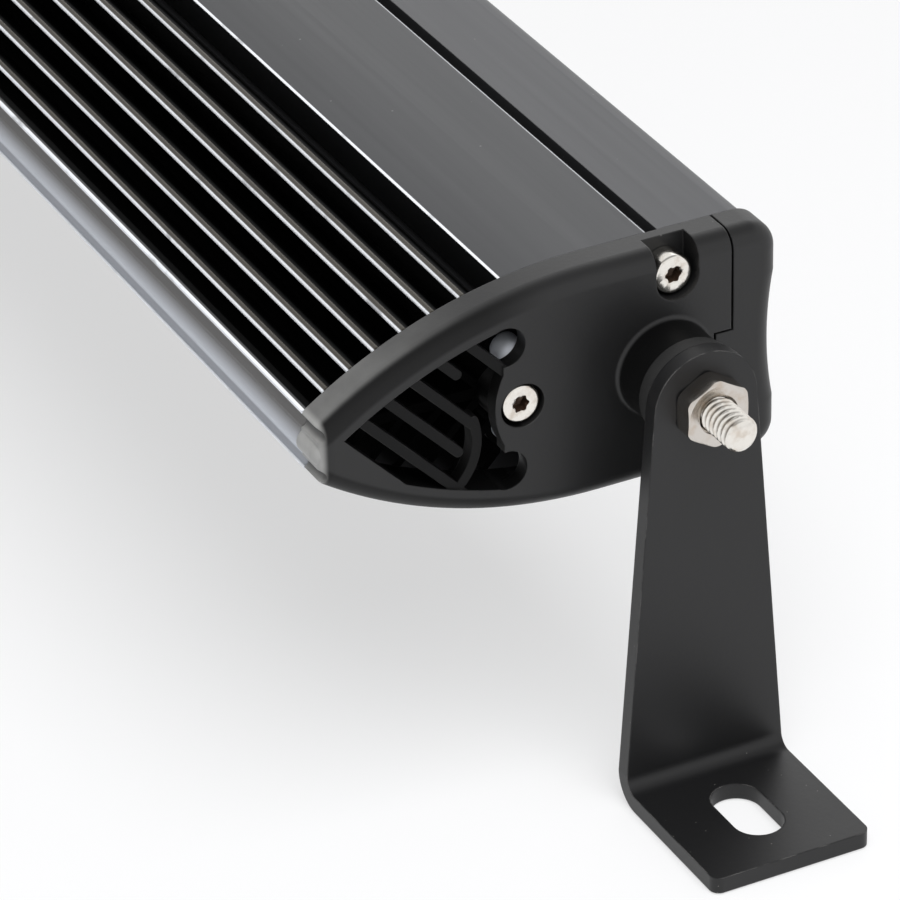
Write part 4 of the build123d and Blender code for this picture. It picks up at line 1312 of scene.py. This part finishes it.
@dataclass
class LightEngine(Dressed):
    """Lens, reflectors, LEDs and their boards."""

    finishes: Looks = (
        (WHITE_BOARD, ("led_board_left", "led_board_centre", "led_board_right")),
        (LENS_PLASTIC, ("lens",)), (GREY_RUBBER, ("lens_gasket",)),
        (STAINLESS, ("led_board_screws",)), (RED_SLEEVE, ("board_jumpers",)))
    names: tuple[str, ...] = ("left", "centre", "right")
    cups: int = 6
    pitch: float = 27.0 * MM
    base_radius: float = 4.0 * MM
    mouth_radius: float = 12.6 * MM
    mouth_lip: float = 0.25 * MM
    mouth_bevel: float = 0.15 * MM
    cup_wall: float = 0.9 * MM
    cup_steps: int = 14
    flange: float = 1.2 * MM
    led_size: float = 5.0 * MM
    led_height: float = 0.9 * MM
    led_bevel: float = 0.12 * MM
    dome_radius: float = 2.1 * MM
    dome_top: float = 0.05 * MM
    segments: int = 64
    dome_segments: int = 32

    def cup_profile(self, thick: float, depth: float, stop: float) -> list[Pair]:
        """Curved wall of a cup.

        Args:
            thick: how far the wall lies outside the inner one.
            depth: depth of the cup.
            stop: the depth at which the wall stops, counted from the board.

        Returns:
            (along, radius) pairs from the board to the front.
        """
        base, mouth = self.base_radius + thick, self.mouth_radius + thick
        pairs = []
        for index in range(self.cup_steps + 1):
            share = stop * index / (self.cup_steps * depth)
            bow = 4 * share * (1 - share) * self.cup_wall
            pairs.append((share * depth, base + (mouth - base) * share + bow))
        return pairs

    def square_ring(self, shape: Shape, half_z: float, along: float, place: Matrix) -> Loop:
        """A rectangular ring whose points stand opposite those of a round one.

        Args:
            shape: the piece.
            half_z: half its height.
            along: its place along the cup's axis.
            place: puts the cup into the frame.

        Returns:
            The ring, as long as the cups are apart.
        """
        half_x = self.pitch / 2
        corner = math.atan2(half_z, half_x)
        angles = [2 * math.pi * index / self.segments for index in range(self.segments)]
        for target in (corner, math.pi - corner, math.pi + corner, 2 * math.pi - corner):
            angles[min(range(self.segments), key=lambda i: abs(angles[i] - target))] = target
        points = []
        for angle in angles:
            c, s = math.cos(angle), math.sin(angle)
            out = min(half_x / max(abs(c), 1e-9), half_z / max(abs(s), 1e-9))
            points.append(place @ Vector((along, out * c, out * s)))
        return shape.loop(points)

    def row(self, x: float) -> list[float]:
        """Places of a strip's cups along the bar, from its middle."""
        return [x + (index - (self.cups - 1) / 2) * self.pitch for index in range(self.cups)]

    def build_reflector(self, name: str) -> None:
        """One strip of reflector cups with its flange.

        Args:
            name: which strip.
        """
        node = f"reflector_{name}"
        low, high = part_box(node)
        depth = high.y - low.y
        half_z = (high.z - low.z) / 2
        middle_x, _, axis = middle(low, high)
        shape = Shape(node)
        inner = self.cup_profile(0.0, depth, depth - self.mouth_bevel)
        inner.append((depth, self.mouth_radius + self.mouth_lip))
        outer = self.cup_profile(self.cup_wall, depth, depth - self.flange)[::-1]
        for x in self.row(middle_x):
            place = Matrix.Translation((x, high.y, axis)) @ FORWARDS
            lathe = Lathe(shape, place, self.segments)
            inside = lathe.turn(inner)
            front, back = (self.square_ring(shape, half_z, along, place)
                           for along in (depth, depth - self.flange))
            outside = lathe.turn(outer)
            shape.skin([inside[-1], front, back, outside[0]])
            shape.skin([outside[-1], inside[0]])
        shape.finish(Body.BAR, "metallised_plastic", REFLECTOR_PLATING)

    def led_places(self) -> list[Point]:
        """Middle of each LED on its board's face, from the boards' places."""
        places = []
        for name in self.names:
            low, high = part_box(f"led_board_{name}")
            middle_x, _, z = middle(low, high)
            places += [(x, low.y, z) for x in self.row(middle_x)]
        return places

    def build_leds(self) -> None:
        """LED bodies with bevelled edges, and their domes."""
        bases, domes = Shape("led_bases"), Shape("led_domes")
        half, top, bevel = self.led_size / 2, self.led_height, self.led_bevel
        corners = ((-1, -1), (1, -1), (1, 1), (-1, 1))
        profile = [(top + self.dome_radius * sine, max(self.dome_radius * cosine, self.dome_top))
                   for sine, cosine in quarter(8)]
        for spot in self.led_places():
            place = Matrix.Translation(spot) @ FORWARDS_MIRRORED
            rings = [bases.loop(place @ Vector((along, side * a, side * b)) for a, b in corners)
                     for along, side in ((0.0, half), (top - bevel, half), (top, half - bevel))]
            bases.skin(rings)
            bases.close(rings[0], rings[-1])
            loops = Lathe(domes, place, self.dome_segments).turn(profile)
            domes.close(loops[0], loops[-1])
        bases.finish(Body.BAR, "led_ceramic", CERAMIC)
        domes.finish(Body.BAR, "led_silicone", DOME)

    def build(self) -> None:
        """Builds the optics and dresses the boards and the lens."""
        for name in self.names:
            self.build_reflector(name)
        self.build_leds()
        super().build()


@dataclass
class CableEntry(Dressed):
    """Cable gland and pressure breather under the bar."""

    finishes: Looks = (
        (GLAND_PLASTIC, ("gland_body", "breather_vent")), (GREY_RUBBER, ("gland_seal",)),
        (BLACK_RUBBER, ("gland_washer", "vent_washer")))
    flats: float = 13.0 * MM
    corner_share: float = 0.98
    bevel: float = 0.15 * MM
    grip_share: float = 0.6
    grip_bevel: float = 0.3 * MM
    crown: float = 2.0 * MM
    crown_steps: int = 6
    flute_start: float = 0.4 * MM
    bore: float = 3.9 * MM
    mouth: float = 0.4 * MM
    inner_bore: float = 5.05 * MM
    neck: float = 7.0 * MM
    flute_depth: float = 0.25 * MM
    flutes: int = 12
    segments: int = 96

    def grip(self, angle: float) -> float:
        """Radius of the nut's hexagon grip at an angle."""
        return hexagon(angle, self.flats / 2)

    def fluted(self, radius: float, share: float) -> Callable[[float], float]:
        """A fluted outline, its flutes as deep as the share of their full depth."""
        depth = self.flute_depth * share
        return lambda angle: radius - depth * max(0.0, math.cos(self.flutes * angle)) ** 2

    def build_nut(self) -> None:
        """Domed gland nut: hexagon grip, fluted crown, rounded mouth."""
        low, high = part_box("gland_nut")
        height = high.z - low.z
        x, y, _ = middle(low, high)
        half = self.flats / 2
        top = height * self.grip_share
        profile = [(0.0, self.inner_bore), (0.0, half * self.corner_share), (self.bevel, self.grip),
                   (top - self.grip_bevel, self.grip), (top, half),
                   (top + self.flute_start, self.fluted(half, 1.0))]
        for index, (sine, cosine) in enumerate(quarter(self.crown_steps)):
            outline = self.fluted(half - self.crown * (1 - cosine), 1.0 - index / self.crown_steps)
            profile.append((height - self.crown * (1 - sine), outline))
        profile += [(height, self.bore + self.mouth), (height - self.mouth, self.bore),
                    (self.neck, self.bore), (self.neck, self.inner_bore)]
        shape = Shape("gland_nut")
        place = Matrix.Translation((x, y, high.z)) @ DOWNWARDS
        Lathe(shape, place, self.segments).turn(profile, closed=True)
        shape.finish(Body.BAR, "gland_plastic", GLAND_PLASTIC, 28.0)

    def build(self) -> None:
        """Builds the gland nut and dresses the rest."""
        self.build_nut()
        super().build()


# Studio and camera


@dataclass(frozen=True)
class Lamp:
    """A soft rectangular lamp."""

    name: str
    place: Point
    aim: Point
    size: Pair
    power: float
    mirrored: bool = True

    def build(self) -> None:
        """Hangs the lamp and points it."""
        light = bpy.data.lights.new(self.name, "AREA")
        light.shape = "RECTANGLE"
        light.size, light.size_y = self.size
        light.energy = self.power
        lamp = add_object(self.name, light)
        lamp.location = self.place
        lamp.visible_glossy = self.mirrored
        way = Vector(self.aim) - Vector(self.place)
        lamp.rotation_euler = way.to_track_quat("-Z", "Y").to_euler()


@dataclass
class Studio:
    """White table and surroundings with soft lamps."""

    white: Colour = (1.0, 1.0, 1.0)
    table_size: float = 6.0
    table_top: float = -0.3 * MM
    table_colour: Colour = (0.915, 0.920, 0.935)
    glow: float = 0.56
    world_level: float = 0.40
    ceiling_shade: float = 0.60
    ceiling_rise: Pair = (0.60, 0.85)
    ceiling_end: Pair = (0.15, 0.50)
    lamps: tuple[Lamp, ...] = (
        Lamp("key", (-0.75, 0.10, 1.08), (-0.22, 0.0, 0.05), (1.0, 1.0), 13.5, mirrored=False),
        Lamp("far", (0.73, -0.66, 0.68), (-0.24, 0.0, 0.09), (0.9, 0.5), 1.3))

    def seen(self, sheet: Sheet) -> Channel:
        """1 where something is seen, mirrored or looked through to, 0 where it only gives light."""
        path = sheet.node("ShaderNodeLightPath", output="Is Camera Ray")
        return path.highest(path.other("Is Glossy Ray")).highest(path.other("Is Transmission Ray"))

    def shade_table(self, sheet: Sheet) -> Channel:
        """Diffuse white that looks white to the camera and in reflections, and keeps shadows.

        Args:
            sheet: the table's node tree.

        Returns:
            The surface shader.
        """
        matt = sheet.node("ShaderNodeBsdfDiffuse", None, {"Color": self.table_colour})
        glow = sheet.node("ShaderNodeEmission", None, {"Color": self.white, "Strength": 1.0})
        return sheet.node("ShaderNodeMixShader", None, {
            0: self.seen(sheet) * self.glow, 1: matt, 2: glow})

    def build_table(self) -> None:
        """Flat table under the feet."""
        half = self.table_size / 2
        data = bpy.data.meshes.new("table")
        data.from_pydata([(-half, -half, 0.0), (half, -half, 0.0), (half, half, 0.0),
                          (-half, half, 0.0)], [], [(0, 1, 2, 3)])
        data.materials.append(new_material("table", self.shade_table))
        table = add_object("table", data)
        table.location.z = self.table_top

    def ceiling(self, sheet: Sheet) -> Channel:
        """The dark part of the ceiling, above the left end, where something mirrors it.

        Args:
            sheet: the world's node tree.

        Returns:
            1 there, else 0.
        """
        way = sheet.node("ShaderNodeTexCoord", output="Generated")
        along = sheet.node("ShaderNodeSeparateXYZ", None, {0: way})
        mirror = sheet.node("ShaderNodeLightPath", output="Is Glossy Ray")
        up = along.other("Z")
        return mirror * up.step(*self.ceiling_rise) * (1.0 - along.step(*self.ceiling_end))

    def build_world(self) -> None:
        """Even surroundings: white where seen or mirrored, softer as light."""
        world = bpy.data.worlds.new("surroundings")
        bpy.context.scene.world = world
        world.use_nodes = True
        sheet = Sheet(world.node_tree)
        level = self.world_level + self.seen(sheet) * (1.0 - self.world_level)
        level = level * (1.0 - self.ceiling(sheet) * self.ceiling_shade)
        sheet.deliver("ShaderNodeOutputWorld", sheet.node(
            "ShaderNodeBackground", None, {"Color": self.white, "Strength": level}))

    def build(self) -> None:
        """Builds the table, the surroundings and the lamps."""
        self.build_table()
        self.build_world()
        for lamp in self.lamps:
            lamp.build()
        bpy.context.scene.view_settings.view_transform = "Standard"


@dataclass
class Camera:
    """Long lens that looks down on the left end from behind."""

    place: Point = (-0.94167, 0.37997, 0.52562)
    turn: Point = (1.03289433, 0.02007372, -2.04396526)
    lens: float = 218.323
    sensor_width: float = 36.0
    clip: Pair = (0.01, 20.0)

    def build(self) -> None:
        """Sets the camera up and makes it the scene's own."""
        data = bpy.data.cameras.new("camera")
        data.lens = self.lens
        data.sensor_width = self.sensor_width
        data.clip_start, data.clip_end = self.clip
        camera = add_object("camera", data)
        camera.location = self.place
        camera.rotation_euler = self.turn
        bpy.context.scene.camera = camera


def main() -> None:
    """Builds every sub-assembly in order, then the studio and the camera."""
    logging.basicConfig(level=logging.INFO, format="%(name)s %(message)s")
    Extrusions().build()
    LightEngine().build()
    Driver().build()
    CableEntry().build()
    for side in Side:
        for part in (EndCap, CapScrews, LocatingPins, Pivot, Bracket):
            part(side).build()
    Studio().build()
    Camera().build()


if __name__ == "__main__":
    main()
